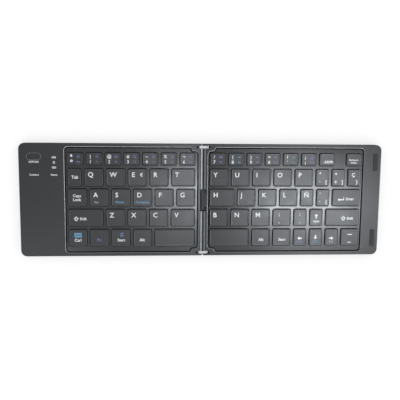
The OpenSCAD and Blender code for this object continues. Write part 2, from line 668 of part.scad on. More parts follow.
module link_plate() rotate([90, 0, 0]) translate([0, 0, -link_thickness / 2]) difference() {
    obround(2 * (pivot_x + link_radius), 2 * link_radius, link_thickness);
    for (side = [-1, 1]) translate([side * pivot_x, 0, -beyond])
        cylinder(r = pin_radius, h = link_thickness + 2 * beyond);
}
module hinge_links() color("#c9ccd0")
    for (side = [-1, 1]) translate([0, side * link_y, pivot_z]) link_plate();
module hinge_pins() color("#8d9095")
    for (side = [-1, 1], end = [-1, 1]) translate([end * pivot_x, side * link_y, pivot_z])
        rotate([-90 * side, 0, 0]) translate([0, 0, -link_thickness / 2 - pin_reach[0]])
            cylinder(r = pin_radius, h = link_thickness + pin_reach[0] + pin_reach[1]);

cover_half_width = 1.6;
cover_low_z = split_z + 0.2;
cover_high_z = pivot_z - 0.6;
cover_radius = 0.5;
cable_z = (cover_low_z + cover_high_z) / 2;
cable_thickness = 0.2;
cable_grip = 0.02;
module cable_cover() color("#3d4043") difference() {
    translate([0, cable_cover_length / 2, 0]) rotate([90, 0, 0]) linear_extrude(cable_cover_length)
        polygon(rounded([[-cover_half_width, cover_low_z, 0.2], [cover_half_width, cover_low_z, 0.2],
            [cover_half_width, cover_high_z, cover_radius], [-cover_half_width, cover_high_z, cover_radius]]));
    translate([-cover_half_width - beyond, -cable_width / 2 - cable_grip,
               cable_z - cable_thickness / 2 - cable_grip])
        cube([2 * (cover_half_width + beyond), cable_width + 2 * cable_grip, cable_thickness + 2 * cable_grip]);
}

// The flat cable carries the cover, and dips from it into each half, under the base plate
cable_half = [[0, cable_z], [cover_half_width + 0.3, cable_z], [well_start + 0.3, plate_z - 0.4],
    [12, plate_z - 0.4]];
function cable_point(i, side, face) =
    [side * cable_half[i][0], cable_half[i][1] + face * cable_thickness / 2];
module flex_cable() color("#c98a3c") translate([0, cable_width / 2, 0]) rotate([90, 0, 0])
    linear_extrude(cable_width) polygon(concat(
        [for (i = [3:-1:1]) cable_point(i, -1, 1)], [for (i = [0:3]) cable_point(i, 1, 1)],
        [for (i = [3:-1:0]) cable_point(i, 1, -1)], [for (i = [1:3]) cable_point(i, -1, -1)]));

module left_screws() color("#6c6f73") on_left() for (p = screw_sites) translate([p[0], p[1], 0]) screw_shape();
module right_screws() color("#6c6f73") for (p = screw_sites) translate([p[0], p[1], 0]) screw_shape();

left_top_frame();
right_top_frame();
left_bottom_cover();
right_bottom_cover();
left_key_web();
right_key_web();
left_base_plate();
right_base_plate();
left_dome_sheet();
right_dome_sheet();
left_scissors();
right_scissors();
battery();
main_board();
charging_socket();
power_slider();
connect_button();
status_lights();
bumper_pads();
left_feet();
right_feet();
hinge_links();
hinge_pins();
cable_cover();
flex_cable();
left_screws();
right_screws();
for (name = ["left_space_key", "left_number_keys", "left_side_keys"])
    left_keys(name);
for (name = ["right_space_key", "right_number_keys", "right_side_keys"])
    right_keys(name);
for (name = LETTERS_LEFT) left_keys(name);
for (name = LETTERS_RIGHT) right_keys(name);
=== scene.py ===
"""Looks of the folding keyboard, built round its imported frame: caps, marks, small pieces, finishes, stage."""

import json
import math

import bmesh
import bpy
from mathutils import Matrix, Vector

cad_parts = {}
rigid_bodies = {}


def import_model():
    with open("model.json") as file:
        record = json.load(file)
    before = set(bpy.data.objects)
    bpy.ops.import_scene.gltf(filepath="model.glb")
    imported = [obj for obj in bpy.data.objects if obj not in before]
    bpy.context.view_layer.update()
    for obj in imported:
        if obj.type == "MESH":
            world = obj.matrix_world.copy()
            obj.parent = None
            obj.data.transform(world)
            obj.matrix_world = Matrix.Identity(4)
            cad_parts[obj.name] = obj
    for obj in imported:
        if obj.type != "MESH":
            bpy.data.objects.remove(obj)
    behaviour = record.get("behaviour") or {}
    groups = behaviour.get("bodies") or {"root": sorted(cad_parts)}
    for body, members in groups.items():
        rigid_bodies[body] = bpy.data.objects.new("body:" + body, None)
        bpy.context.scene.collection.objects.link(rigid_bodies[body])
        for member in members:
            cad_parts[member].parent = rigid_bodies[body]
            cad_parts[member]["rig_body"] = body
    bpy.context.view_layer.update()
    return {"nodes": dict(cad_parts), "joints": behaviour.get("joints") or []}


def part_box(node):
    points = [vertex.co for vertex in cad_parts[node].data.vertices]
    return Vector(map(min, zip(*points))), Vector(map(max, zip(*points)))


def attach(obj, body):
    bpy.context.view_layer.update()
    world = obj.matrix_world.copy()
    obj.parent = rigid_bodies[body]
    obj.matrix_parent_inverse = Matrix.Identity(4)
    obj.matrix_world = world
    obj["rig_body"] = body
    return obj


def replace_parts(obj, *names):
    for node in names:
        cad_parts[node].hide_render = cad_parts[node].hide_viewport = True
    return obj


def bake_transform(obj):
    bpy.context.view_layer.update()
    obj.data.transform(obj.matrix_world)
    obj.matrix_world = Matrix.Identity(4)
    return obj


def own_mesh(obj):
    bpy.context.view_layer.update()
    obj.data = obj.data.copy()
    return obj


bl_info = {
    "name": "Folding Keyboard",
    "version": (1, 0, 0),
    "blender": (4, 5, 0),
    "location": "3D View > Sidebar > Keyboard",
    "description": "Keycaps, printed marks, finishes and stage of a folding keyboard",
    "category": "Object",
}

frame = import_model()

MM = 0.001

# A CAD mesh is loose triangles, whose corners are one point where they lie this close
LOOSE = 0.002 * MM
# Caps whose middles lie this close along Y stand in one row
ROW = 5 * MM

# Inks, each named for its colour in PrintSizes
INKS = INK_WHITE, INK_BLUE, INK_GREY, INK_VIOLET, INK_TEAL, INK_SKY = (
    "ink_white", "ink_blue", "ink_grey", "ink_violet", "ink_teal", "ink_sky")

# Caps: how far the hollow's walls lean in, and what the homing bar measures
DRAFT = 0.05 * MM
HOMING = ("key_f", "key_j")
BAR_LENGTH = 3.0 * MM
BAR_WIDTH = 0.6 * MM
BAR_RISE = 0.12 * MM
BAR_SUNK = 0.05 * MM
BAR_ROUNDING = 0.12 * MM
BAR_PLACE = 3.3 * MM

# Screws: the head's height, the neck under it, and the cross recess
HEAD = 0.95 * MM
HEAD_ROUNDING = 0.12 * MM
NECK = 0.75 * MM
CROSS_ARM = 1.0 * MM
CROSS_HALF = 0.2 * MM
CROSS_DEPTH = 0.55 * MM
CROSS_TAPER = 0.8

# Lip in the step round the power slider's opening, whose lighter grey is a painted highlight
LIP_LENGTH = 11.9 * MM
LIP_WIDTH = 5.9 * MM
LIP_HEIGHT = 0.27 * MM
LIP_DEPTH = 0.165 * MM
LIP_WALL = 0.45 * MM

# Words on the panel: in line with one piece, this far in front of another, at this height
PANEL_WORDS = (
    ("OFF/ON", "connect_button", "power_slider", 5.3 * MM, 1.6 * MM),
    ("Connect", "connect_button", "connect_button", 6.1 * MM, 1.55 * MM),
    ("Status", "status_lights", "connect_button", 6.1 * MM, 1.55 * MM),
)

# Rubber domes: how far a dome reaches round its middle
DOME_REACH = 2.85 * MM

# Charging socket: the plate behind the tongue, the tongue, and its contacts
PLATE = Vector((6.8, 0.2, 1.6)) * MM
PLATE_PLACE = 0.65 * MM
TONGUE_WIDTH = 5.4 * MM
TONGUE_HEIGHT = 0.8 * MM
TONGUE_BACK = 0.95 * MM
CONTACTS = 8
CONTACT = Vector((0.28, 1.8, 0.84)) * MM
CONTACT_PITCH = 0.6 * MM
CONTACT_PLACE = 1.2 * MM

# Flat cable: its thickness, and the length over which it goes down beside the hinge's cover and bends
FILM = 0.2 * MM
FALL = 2.6 * MM

# Light goes this far down beside the caps' and the webs' upper faces, and no further
LIT_CAP = 0.28 * MM
LIT_WEB = 0.2 * MM

# Dust, how much the polish of moulded plastic varies, and how much smoother the webs are than the caps
DUST = (0.30, 0.30, 0.29)
POLISH = 0.025
WEB_POLISH = 0.09

# Drawn metal is this much smoother on its lines and rougher between them, and worn ink is this dark
RUBBED = 0.05
DRAWN = 0.06
WORN_INK = 0.94

# Metals: colour, roughness, depth of the drawn lines and their density
METALS = {
    "link metal": ((0.27, 0.27, 0.28), 0.42, 0.004 * MM, 9000.0),
    "pin steel": ((0.52, 0.52, 0.53), 0.28, 0.004 * MM, 9000.0),
    "screw steel": ((0.14, 0.14, 0.145), 0.36, 0.004 * MM, 9000.0),
    "plate steel": ((0.5, 0.51, 0.52), 0.35, 0.004 * MM, 9000.0),
    "socket steel": ((0.66, 0.67, 0.68), 0.3, 0.004 * MM, 9000.0),
    "contact gold": ((0.78, 0.55, 0.24), 0.3, 0.004 * MM, 9000.0),
    "cell foil": ((0.55, 0.56, 0.58), 0.42, 0.02 * MM, 1200.0),
}

# Plastics and rubbers of the smaller pieces: colour, roughness, index of refraction and dust
PLASTICS = {
    "hinge plastic": ((0.022, 0.025, 0.025), 0.55, 1.42, 0.1),
    # The slider lip's lighter grey is a painted highlight on the step round the slider's opening
    "slider lip": ((0.11, 0.112, 0.116), 0.35, 1.5, 0.0),
    "cable film": ((0.012, 0.012, 0.013), 0.34, 1.5, 0.1),
    "silicone": ((0.010, 0.010, 0.011), 0.6, 1.41, 0.25),
    "nylon": ((0.012, 0.012, 0.013), 0.5, 1.5, 0.25),
    "light guide": ((0.44, 0.45, 0.46), 0.35, 1.5, 0.0),
    "board": ((0.02, 0.11, 0.05), 0.35, 1.5, 0.25),
    "socket plastic": ((0.012, 0.012, 0.013), 0.45, 1.5, 0.0),
}

# Stage: the floor's reach, and how far right of the middle a piece may lie that is lit with the left half
WHITE = (1.0, 1.0, 1.0)
FLOOR_REACH = 3.0
HINGE_SIDE = 2 * MM


# Sizes and colours that a user would change

COLOUR = {"size": 3, "min": 0, "max": 1, "subtype": "COLOR"}


class CapSizes(bpy.types.PropertyGroup):
    """The keycaps' shape, in metres."""

    corner: bpy.props.FloatProperty(
        name="Corner radius", description="Radius of a cap's upright edges",
        default=1.3 * MM, min=0.3 * MM, max=3 * MM, unit="LENGTH")
    shoulder: bpy.props.FloatProperty(
        name="Shoulder", description="Width of the rounding round a cap's top",
        default=0.38 * MM, min=0.1 * MM, max=0.8 * MM, unit="LENGTH")
    border: bpy.props.FloatProperty(
        name="Border", description="Width of the flat border round the dish",
        default=0.22 * MM, min=0.1 * MM, max=0.4 * MM, unit="LENGTH")
    slope: bpy.props.FloatProperty(
        name="Slope", description="Width of the slope from the border into the dish",
        default=0.5 * MM, min=0.2 * MM, max=0.6 * MM, unit="LENGTH")
    dish: bpy.props.FloatProperty(
        name="Dish", description="Depth of the dish in a cap's top",
        default=0.1 * MM, min=0.0, max=0.3 * MM, unit="LENGTH")
    wall: bpy.props.FloatProperty(
        name="Skirt", description="Thickness of a cap's skirt",
        default=1.0 * MM, min=0.5 * MM, max=2 * MM, unit="LENGTH")
    hollow: bpy.props.FloatProperty(
        name="Hollow", description="Depth of the hollow under a cap",
        default=1.6 * MM, min=0.5 * MM, max=2.2 * MM, unit="LENGTH")


class PrintSizes(bpy.types.PropertyGroup):
    """The printed marks."""

    thickness: bpy.props.FloatProperty(
        name="Thickness", description="Height of the print above what it lies on",
        default=0.03 * MM, min=0.01 * MM, max=0.1 * MM, unit="LENGTH")
    letter: bpy.props.FloatProperty(
        name="Letter height", description="Height of a capital on a letter cap",
        default=3.9 * MM, min=2 * MM, max=6 * MM, unit="LENGTH")
    weight: bpy.props.FloatProperty(
        name="Weight", description="How much bolder than the plain font, as a share of the height",
        default=0.024, min=0.0, max=0.06)
    white: bpy.props.FloatVectorProperty(
        name="White ink", description="Colour of the main marks",
        default=(0.80, 0.81, 0.82), **COLOUR)
    blue: bpy.props.FloatVectorProperty(
        name="Blue ink", description="Colour of the second marks",
        default=(0.11, 0.17, 0.29), **COLOUR)
    sky: bpy.props.FloatVectorProperty(
        name="Sky blue ink", description="Colour of the larger second marks of the left half",
        default=(0.13, 0.30, 0.48), **COLOUR)
    grey: bpy.props.FloatVectorProperty(
        name="Grey ink", description="Colour of the small marks",
        default=(0.36, 0.37, 0.39), **COLOUR)
    violet: bpy.props.FloatVectorProperty(
        name="Violet ink", description="Colour of some second marks of the right half",
        default=(0.16, 0.18, 0.36), **COLOUR)
    teal: bpy.props.FloatVectorProperty(
        name="Teal ink", description="Colour of a few second marks of the right half",
        default=(0.09, 0.22, 0.31), **COLOUR)


class Finishes(bpy.types.PropertyGroup):
    """Colours of the moulded and metal pieces."""

    shell: bpy.props.FloatVectorProperty(
        name="Shell", description="Colour of the moulded shell",
        default=(0.016, 0.017, 0.018), **COLOUR)
    # Painted highlight: the shell's sloping bevels are tinted this lighter colour so that they look lit
    bevel: bpy.props.FloatVectorProperty(
        name="Bevel", description="Colour of the bright bevels round the keys and along the hinge",
        default=(0.18, 0.19, 0.20), **COLOUR)
    cap: bpy.props.FloatVectorProperty(
        name="Caps", description="Colour of the keycaps",
        default=(0.017, 0.018, 0.020), **COLOUR)
    web: bpy.props.FloatVectorProperty(
        name="Web", description="Colour of the web between the caps",
        default=(0.018, 0.019, 0.021), **COLOUR)
    rubber: bpy.props.FloatVectorProperty(
        name="Rubber", description="Colour of the feet and the bumper pads",
        default=(0.010, 0.010, 0.011), **COLOUR)
    gloss: bpy.props.FloatProperty(
        name="Roughness", description="Roughness of the moulded plastic",
        default=0.3, min=0.1, max=0.9)
    density: bpy.props.FloatProperty(
        name="Index", description="Index of refraction of the moulded plastic",
        default=1.42, min=1.3, max=1.6)


class StageSizes(bpy.types.PropertyGroup):
    """Camera, lamps and floor."""

    place: bpy.props.FloatVectorProperty(
        name="Camera", description="Where the camera stands",
        default=(-36.9 * MM, 68.4 * MM, 509.6 * MM), size=3, unit="LENGTH")
    tilt: bpy.props.FloatVectorProperty(
        name="Tilt", description="How far the camera leans from straight down, about X and Y",
        default=(math.radians(-7.727), math.radians(-3.881)), size=2, unit="ROTATION")
    lens: bpy.props.FloatProperty(
        name="Lens", description="Focal length on a 36 mm sensor, in millimetres", default=54.0)
    left_glint: bpy.props.FloatVectorProperty(
        name="Left glint", description="Point of the left half where the camera sees its lamp's reflection",
        default=(6 * MM, 6 * MM), size=2, unit="LENGTH")
    right_glint: bpy.props.FloatVectorProperty(
        name="Right glint", description="Point of the right half where the camera sees its lamp's reflection",
        default=(88 * MM, -3 * MM), size=2, unit="LENGTH")
    corner_glint: bpy.props.FloatVectorProperty(
        name="Corner glint", description="Point at the left end where the camera sees its lamp's reflection",
        default=(-138 * MM, -56 * MM), size=2, unit="LENGTH")
    lamp_height: bpy.props.FloatProperty(
        name="Lamp height", description="Height of the upper lamps", default=0.7, unit="LENGTH")
    lamp_size: bpy.props.FloatVectorProperty(
        name="Lamp size", description="Width and depth of the upper lamps",
        default=(0.18, 0.05), size=2, unit="LENGTH")
    left_power: bpy.props.FloatProperty(
        name="Left power", description="Power of the lamp over the left half", default=1.18, unit="POWER")
    right_power: bpy.props.FloatProperty(
        name="Right power", description="Power of the lamp over the right half", default=1.8, unit="POWER")
    corner_power: bpy.props.FloatProperty(
        name="Corner power", description="Power of the lamp over the left end", default=0.17, unit="POWER")
    front_place: bpy.props.FloatVectorProperty(
        name="Front lamp", description="Where the low lamp in front stands",
        default=(0.05, -0.7, 0.07), size=3, unit="LENGTH")
    front_power: bpy.props.FloatProperty(
        name="Front power", description="Power of the low lamp in front", default=5.0, unit="POWER")
    side_place: bpy.props.FloatVectorProperty(
        name="Side lamp", description="Where the low lamp at the right stands",
        default=(0.7, -0.05, 0.1), size=3, unit="LENGTH")
    side_power: bpy.props.FloatProperty(
        name="Side power", description="Power of the low lamp at the right", default=5.0, unit="POWER")
    low_size: bpy.props.FloatVectorProperty(
        name="Low lamp size", description="Width and height of the low lamps",
        default=(0.7, 0.14), size=2, unit="LENGTH")
    light: bpy.props.FloatVectorProperty(
        name="Lamp colour", description="Colour of the lamps",
        default=(0.91, 0.95, 1.0), **COLOUR)
    fill: bpy.props.FloatProperty(
        name="Fill", description="Strength of the sky on what it lights", default=0.55)
    floor: bpy.props.FloatVectorProperty(
        name="Floor", description="Colour of the floor",
        default=(0.86, 0.86, 0.86), **COLOUR)
    lift: bpy.props.FloatProperty(
        name="Floor lift", description="Light that only the camera sees on the floor", default=0.56)


# What the frame says


def middle_of(node):
    """The middle of a CAD node's box."""
    return sum(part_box(node), Vector()) / 2


def deck_top():
    """Height of the panel that the status lights lie in."""
    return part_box("status_lights")[1].z


def cap_top():
    """Height of a cap's border, from a cap with no homing bar."""
    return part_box("key_q")[1].z


def body_of(node):
    """The body that a CAD node rides on."""
    return frame["nodes"][node]["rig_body"]


def travel(joint):
    """How far a sliding joint moves from rest."""
    found = next(j for j in frame["joints"] if j["name"] == joint)
    return max(abs(end) for end in found["range_m"])


def key_nodes():
    """Every node of caps."""
    return [n for n in frame["nodes"] if n.startswith("key_") or n.endswith(("_space_key", "_keys"))]


def side_keys(side):
    """The key nodes of the left or the right half."""
    return [n for n in key_nodes() if ("left" if middle_of(n).x < 0 else "right") == side]


def islands(node):
    """The boxes of a CAD node's separate solids, in reading order: from the rear row, then from the left."""
    bm = bmesh.new()
    bm.from_mesh(frame["nodes"][node].data)
    bmesh.ops.remove_doubles(bm, verts=bm.verts, dist=LOOSE)
    left = set(bm.verts)
    boxes = []
    while left:
        stack = [left.pop()]
        found = []
        while stack:
            vert = stack.pop()
            found.append(vert.co.copy())
            for edge in vert.link_edges:
                other = edge.other_vert(vert)
                if other in left:
                    left.remove(other)
                    stack.append(other)
        boxes.append((Vector([min(c[i] for c in found) for i in range(3)]),
                      Vector([max(c[i] for c in found) for i in range(3)])))
    bm.free()
    return sorted(boxes, key=lambda b: (-round((b[0].y + b[1].y) / 2 / ROW), b[0].x))


# Modelling helpers


def add_block(bm, low, high):
    """Adds the box between two corners, and gives its points."""
    place = Matrix.Translation((low + high) / 2) @ Matrix.Diagonal((*(high - low), 1))
    return bmesh.ops.create_cube(bm, size=1, matrix=place)["verts"]


def add_rounded_blocks(bm, blocks, middle, rounding):
    """Adds blocks with rounded edges, each given by its place across and along and its three sizes."""
    for across, along, *size in blocks:
        centre = Vector((middle.x + across, along, middle.z))
        half = Vector(size) / 2
        points = add_block(bm, centre - half, centre + half)
        round_edges(bm, {edge for point in points for edge in point.link_edges}, rounding, 2)
    smooth_by_angle(bm, 40)


def add_to(bm, one):
    """Adds one bmesh to another, and frees it."""
    mesh = bpy.data.meshes.new("part")
    one.to_mesh(mesh)
    one.free()
    bm.from_mesh(mesh)
    bpy.data.meshes.remove(mesh)


def level_faces(bm, up):
    """The faces that look straight up or down, the largest last."""
    faces = [f for f in bm.faces if f.normal.z * up > 0.999]
    return sorted(faces, key=lambda f: f.calc_area())


def upright_edges(bm):
    """The edges that stand upright."""
    return [e for e in bm.edges if abs((e.verts[0].co - e.verts[1].co).normalized().z) > 0.9]


def round_edges(bm, edges, offset, segments):
    """Rounds edges."""
    bmesh.ops.bevel(bm, geom=list(edges), offset=offset, segments=segments, profile=0.5,
                    affect="EDGES", material=-1)


def raised_points(bm, faces):
    """Extrudes faces, and gives the new points, which are still where the old ones are."""
    made = bmesh.ops.extrude_face_region(bm, geom=faces)
    return [v for v in made["geom"] if isinstance(v, bmesh.types.BMVert)]


def smooth_by_angle(bm, degrees):
    """Shades every face smooth and keeps the edges that turn further than this sharp."""
    for face in bm.faces:
        face.smooth = True
    for edge in bm.edges:
        edge.smooth = len(edge.link_faces) == 2 and edge.calc_face_angle(0) < math.radians(degrees)


def steady_normals(piece):
    """Keeps large flat faces looking flat beside their rounded edges."""
    steady = piece.modifiers.new("steady normals", "WEIGHTED_NORMAL")
    steady.keep_sharp = True


def new_piece(name, bm, *materials):
    """A new piece at the origin, made of a bmesh."""
    mesh = bpy.data.meshes.new(name)
    bm.to_mesh(mesh)
    bm.free()
    for material in materials:
        mesh.materials.append(material)
    piece = bpy.data.objects.new(name, mesh)
    bpy.context.scene.collection.objects.link(piece)
    return piece


def carved(name, source, keep, body, material):
    """The faces of a CAD node that keep() picks, as a piece of their own that stands for that node."""
    bm = bmesh.new()
    bm.from_mesh(frame["nodes"][source].data)
    unwanted = [f for f in bm.faces if not keep([v.co for v in f.verts])]
    bmesh.ops.delete(bm, geom=unwanted, context="FACES")
    bmesh.ops.remove_doubles(bm, verts=bm.verts, dist=LOOSE)
    smooth_by_angle(bm, 35)
    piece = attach(new_piece(name, bm, material), body)
    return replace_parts(piece, source)


def near_any(points, middles, reach):
    """Whether all the points lie round one of the middles."""
    return any(all((p - m).xy.length < reach for p in points) for m in middles)


# Shader node groups


def add(tree, kind, **inputs):
    """A node, with sockets or plain values for its inputs, by name."""
    made = tree.nodes.new(kind)
    for name, value in inputs.items():
        feed(tree, value, made.inputs[name.replace("_", " ")])
    return made


def feed(tree, value, socket):
    """Links an input to another node's socket, or gives it a plain value."""
    if isinstance(value, bpy.types.NodeSocket):
        tree.links.new(value, socket)
    else:
        socket.default_value = value


def maths(tree, operation, *values, clamp=False):
    """The result of a maths node on one or two values."""
    made = tree.nodes.new("ShaderNodeMath")
    made.operation = operation
    made.use_clamp = clamp
    for value, socket in zip(values, made.inputs):
        feed(tree, value, socket)
    return made.outputs[0]


def noise(tree, vector, scale, detail):
    """Soft uneven patches, from 0 to 1."""
    return add(tree, "ShaderNodeTexNoise", Vector=vector, Scale=scale, Detail=detail).outputs["Fac"]


def cells(tree, vector, scale):
    """A node of cells, which gives the distance from their middles."""
    return add(tree, "ShaderNodeTexVoronoi", Vector=vector, Scale=scale)


def ramp(tree, value, low, high, to_low=0.0, to_high=1.0):
    """Maps a value from one range to another, and stops at its ends."""
    return add(tree, "ShaderNodeMapRange", Value=value, From_Min=low, From_Max=high,
               To_Min=to_low, To_Max=to_high).outputs["Result"]


def surface(tree, kind="Object"):
    """Where a point of the surface lies, or with Normal the way it faces."""
    return tree.nodes.new("ShaderNodeTexCoord").outputs[kind]


def split(tree, vector):
    """A vector's X, Y and Z."""
    return add(tree, "ShaderNodeSeparateXYZ", Vector=vector).outputs


def new_group(name, inputs, outputs):
    """An empty shader node group with named sockets."""
    tree = bpy.data.node_groups.new(name, "ShaderNodeTree")
    for label, value in inputs.items():
        tree.interface.new_socket(label, in_out="INPUT", socket_type="NodeSocketFloat").default_value = value
    for label in outputs:
        tree.interface.new_socket(label, in_out="OUTPUT", socket_type="NodeSocketFloat")
    return tree, tree.nodes.new("NodeGroupInput").outputs, tree.nodes.new("NodeGroupOutput").inputs


def moulded_grain():
    """Fine grain of moulded plastic: its height, and a mask of slightly polished patches."""
    tree, given, out = new_group("moulded grain", {"Scale": 2600.0}, ("Height", "Patches"))
    place = surface(tree)
    grain = cells(tree, place, given["Scale"])
    grain.feature = "SMOOTH_F1"
    tree.links.new(grain.outputs["Distance"], out["Height"])
    patches = noise(tree, place, scale=55.0, detail=3.0)
    tree.links.new(ramp(tree, patches, low=0.35, high=0.7), out["Patches"])
    return tree


def settled_dust():
    """Sparse specks of dust, as a mask."""
    tree, given, out = new_group("settled dust", {"Scale": 900.0, "Amount": 0.25}, ("Mask",))
    place = surface(tree)
    distance = cells(tree, place, given["Scale"]).outputs["Distance"]
    specks = ramp(tree, distance, low=0.05, high=0.16, to_low=1.0, to_high=0.0)
    drifts = ramp(tree, noise(tree, place, scale=140.0, detail=4.0), low=0.52, high=0.75)
    both = maths(tree, "MULTIPLY", specks, drifts)
    tree.links.new(maths(tree, "MULTIPLY", both, given["Amount"]), out["Mask"])
    return tree


def low_places():
    """How far down a point lies, as a mask that is 1 below the given height."""
    tree, given, out = new_group("low places", {"Height": 0.0, "Soft": 0.1 * MM}, ("Mask",))
    depth = maths(tree, "SUBTRACT", given["Height"], split(tree, surface(tree))["Z"])
    tree.links.new(maths(tree, "DIVIDE", depth, given["Soft"], clamp=True), out["Mask"])
    return tree


def bright_bevels():
    """Where a sloping bevel lies inside the outer edge: a mask that is 1 on it, for a painted highlight."""
    tree, given, out = new_group(
        "bright bevels", {"Across": 150 * MM, "Along": 46.6 * MM, "Steep": 0.35, "Level": 0.95}, ("Mask",))
    place = split(tree, surface(tree))
    rise = split(tree, surface(tree, "Normal"))["Z"]
    mask = maths(tree, "GREATER_THAN", rise, given["Steep"])
    for value, limit in ((rise, "Level"), (maths(tree, "ABSOLUTE", place["X"]), "Across"),
                         (maths(tree, "ABSOLUTE", place["Y"]), "Along")):
        mask = maths(tree, "MULTIPLY", mask, maths(tree, "LESS_THAN", value, given[limit]))
    tree.links.new(mask, out["Mask"])
    return tree


def drawn_lines():
    """Fine parallel lines of rolled or brushed metal, along Y: their height."""
    tree, given, out = new_group("drawn lines", {"Scale": 9000.0}, ("Height",))
    stretch = add(tree, "ShaderNodeMapping", Vector=surface(tree), Scale=(1.0, 0.03, 1.0))
    lines = noise(tree, stretch.outputs["Vector"], given["Scale"], detail=3.0)
    tree.links.new(lines, out["Height"])
    return tree


def place_group(tree, maker, **values):
    """A node of a shared group, which is built on its first use and named as its maker."""
    made = tree.nodes.new("ShaderNodeGroup")
    made.node_tree = bpy.data.node_groups.get(maker.__name__.replace("_", " ")) or maker()
    for label, value in values.items():
        made.inputs[label].default_value = value
    return made.outputs


# Materials


def opaque(colour):
    """A colour as a shader socket takes it."""
    return (*colour, 1.0)


def shader_of(material):
    """A material's shader."""
    return material.node_tree.nodes["Principled BSDF"]


def new_material(name, colour, roughness, metallic=0.0, ior=1.45):
    """A material with its shader, at one colour and roughness."""
    material = bpy.data.materials.new(name)
    material.use_nodes = True
    material.diffuse_color = opaque(colour)
    shader = shader_of(material)
    shader.inputs["Base Color"].default_value = opaque(colour)
    shader.inputs["Roughness"].default_value = roughness
    shader.inputs["Metallic"].default_value = metallic
    shader.inputs["IOR"].default_value = ior
    return material, material.node_tree, shader


def bump(tree, shader, height, depth):
    """Feeds a height to the shader's normal, with its depth in metres."""
    made = add(tree, "ShaderNodeBump", Height=height, Strength=1.0, Distance=depth)
    tree.links.new(made.outputs["Normal"], shader.inputs["Normal"])


def tint(tree, shader, mask, other):
    """Mixes another colour into the shader's colour, by a mask."""
    base = shader.inputs["Base Color"]
    mix = tree.nodes.new("ShaderNodeMix")
    mix.data_type = "RGBA"
    feed(tree, base.links[0].from_socket if base.is_linked else base.default_value, mix.inputs["A"])
    mix.inputs["B"].default_value = opaque(other)
    tree.links.new(mask, mix.inputs["Factor"])
    tree.links.new(mix.outputs["Result"], base)


def moulded(name, colour, roughness, ior, dust=0.25, grain=2600.0, depth=0.006 * MM, painted_shade_below=None):
    """Moulded plastic or rubber: fine grain, uneven polish, a little dust, and, where a height is given,
    painted shade: black below that height.
    """
    material, tree, shader = new_material(name, colour, roughness, ior=ior)
    skin = place_group(tree, moulded_grain, Scale=grain)
    bump(tree, shader, skin["Height"], depth)
    polish = ramp(tree, skin["Patches"], 0, 1, to_low=roughness + POLISH, to_high=roughness - POLISH)
    tree.links.new(polish, shader.inputs["Roughness"])
    tint(tree, shader, place_group(tree, settled_dust, Amount=dust)["Mask"], DUST)
    # Painted shade: below the given height the surface is painted black and made metallic, so that it looks
    # dark as shade
    if painted_shade_below is not None:
        low = place_group(tree, low_places, Height=painted_shade_below)["Mask"]
        tint(tree, shader, low, (0.0, 0.0, 0.0))
        tree.links.new(low, shader.inputs["Metallic"])
    return material


def plastic(name):
    """One of the plastics and rubbers of the smaller pieces."""
    return moulded(name, *PLASTICS[name])


def dull(material):
    """Takes most of the shine off a material."""
    shader_of(material).inputs["Specular IOR Level"].default_value = 0.15


def metal(name):
    """Metal with fine drawn lines."""
    colour, roughness, depth, scale = METALS[name]
    material, tree, shader = new_material(name, colour, roughness, metallic=1.0)
    lines = place_group(tree, drawn_lines, Scale=scale)["Height"]
    bump(tree, shader, lines, depth)
    rub = ramp(tree, lines, low=0.3, high=0.7, to_low=roughness - RUBBED, to_high=roughness + DRAWN)
    tree.links.new(rub, shader.inputs["Roughness"])
    return material


def ink(name, colour):
    """Printed ink, a little worn in patches."""
    material, tree, shader = new_material(name, colour, 0.5)
    skin = place_group(tree, moulded_grain, Scale=2600.0)
    tint(tree, shader, skin["Patches"], [WORN_INK * c for c in colour])
    return material


def inks(sizes):
    """The inks, in the order of INKS."""
    return [bpy.data.materials.get(name) or ink(name, getattr(sizes, name.removeprefix("ink_")))
            for name in INKS]


def paint(material, *nodes):
    """Gives CAD nodes a material."""
    for name in nodes:
        for slot in frame["nodes"][name].material_slots:
            slot.material = material


# Keycaps


def cap(low, high, sizes):
    """One cap in its box: rounded corners, a soft shoulder, a dished top and a hollow underside."""
    bm = bmesh.new()
    add_block(bm, low, high)
    round_edges(bm, upright_edges(bm), sizes.corner, 6)
    under = level_faces(bm, -1)[-1]
    bmesh.ops.inset_individual(bm, faces=[under], thickness=sizes.wall)
    bmesh.ops.inset_individual(bm, faces=[under], thickness=DRAFT, depth=-sizes.hollow)
    round_edges(bm, level_faces(bm, 1)[-1].edges, sizes.shoulder, 4)
    top = level_faces(bm, 1)[-1]
    bmesh.ops.inset_individual(bm, faces=[top], thickness=sizes.border)
    bmesh.ops.inset_individual(bm, faces=[top], thickness=sizes.slope, depth=-sizes.dish)
    return bm


def add_homing_bar(bm, low, high, sizes):
    """Adds the small bar that a finger finds, near the front of a cap."""
    across = (low.x + high.x) / 2
    front = low.y + BAR_PLACE
    points = add_block(bm, Vector((across - BAR_LENGTH / 2, front, high.z - sizes.dish - BAR_SUNK)),
                       Vector((across + BAR_LENGTH / 2, front + BAR_WIDTH, high.z + BAR_RISE)))
    round_edges(bm, {edge for point in points for edge in point.link_edges}, BAR_ROUNDING, 2)


def cap_piece(node, sizes, material):
    """All the caps of a CAD node, as one piece that stands for it."""
    bm = bmesh.new()
    top = cap_top()
    for low, high in islands(node):
        high.z = min(high.z, top)
        one = cap(low, high, sizes)
        if node in HOMING:
            add_homing_bar(one, low, high, sizes)
        smooth_by_angle(one, 50)
        add_to(bm, one)
    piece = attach(new_piece("cap_" + node, bm, material), body_of(node))
    steady_normals(piece)
    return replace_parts(piece, node)


# Screws


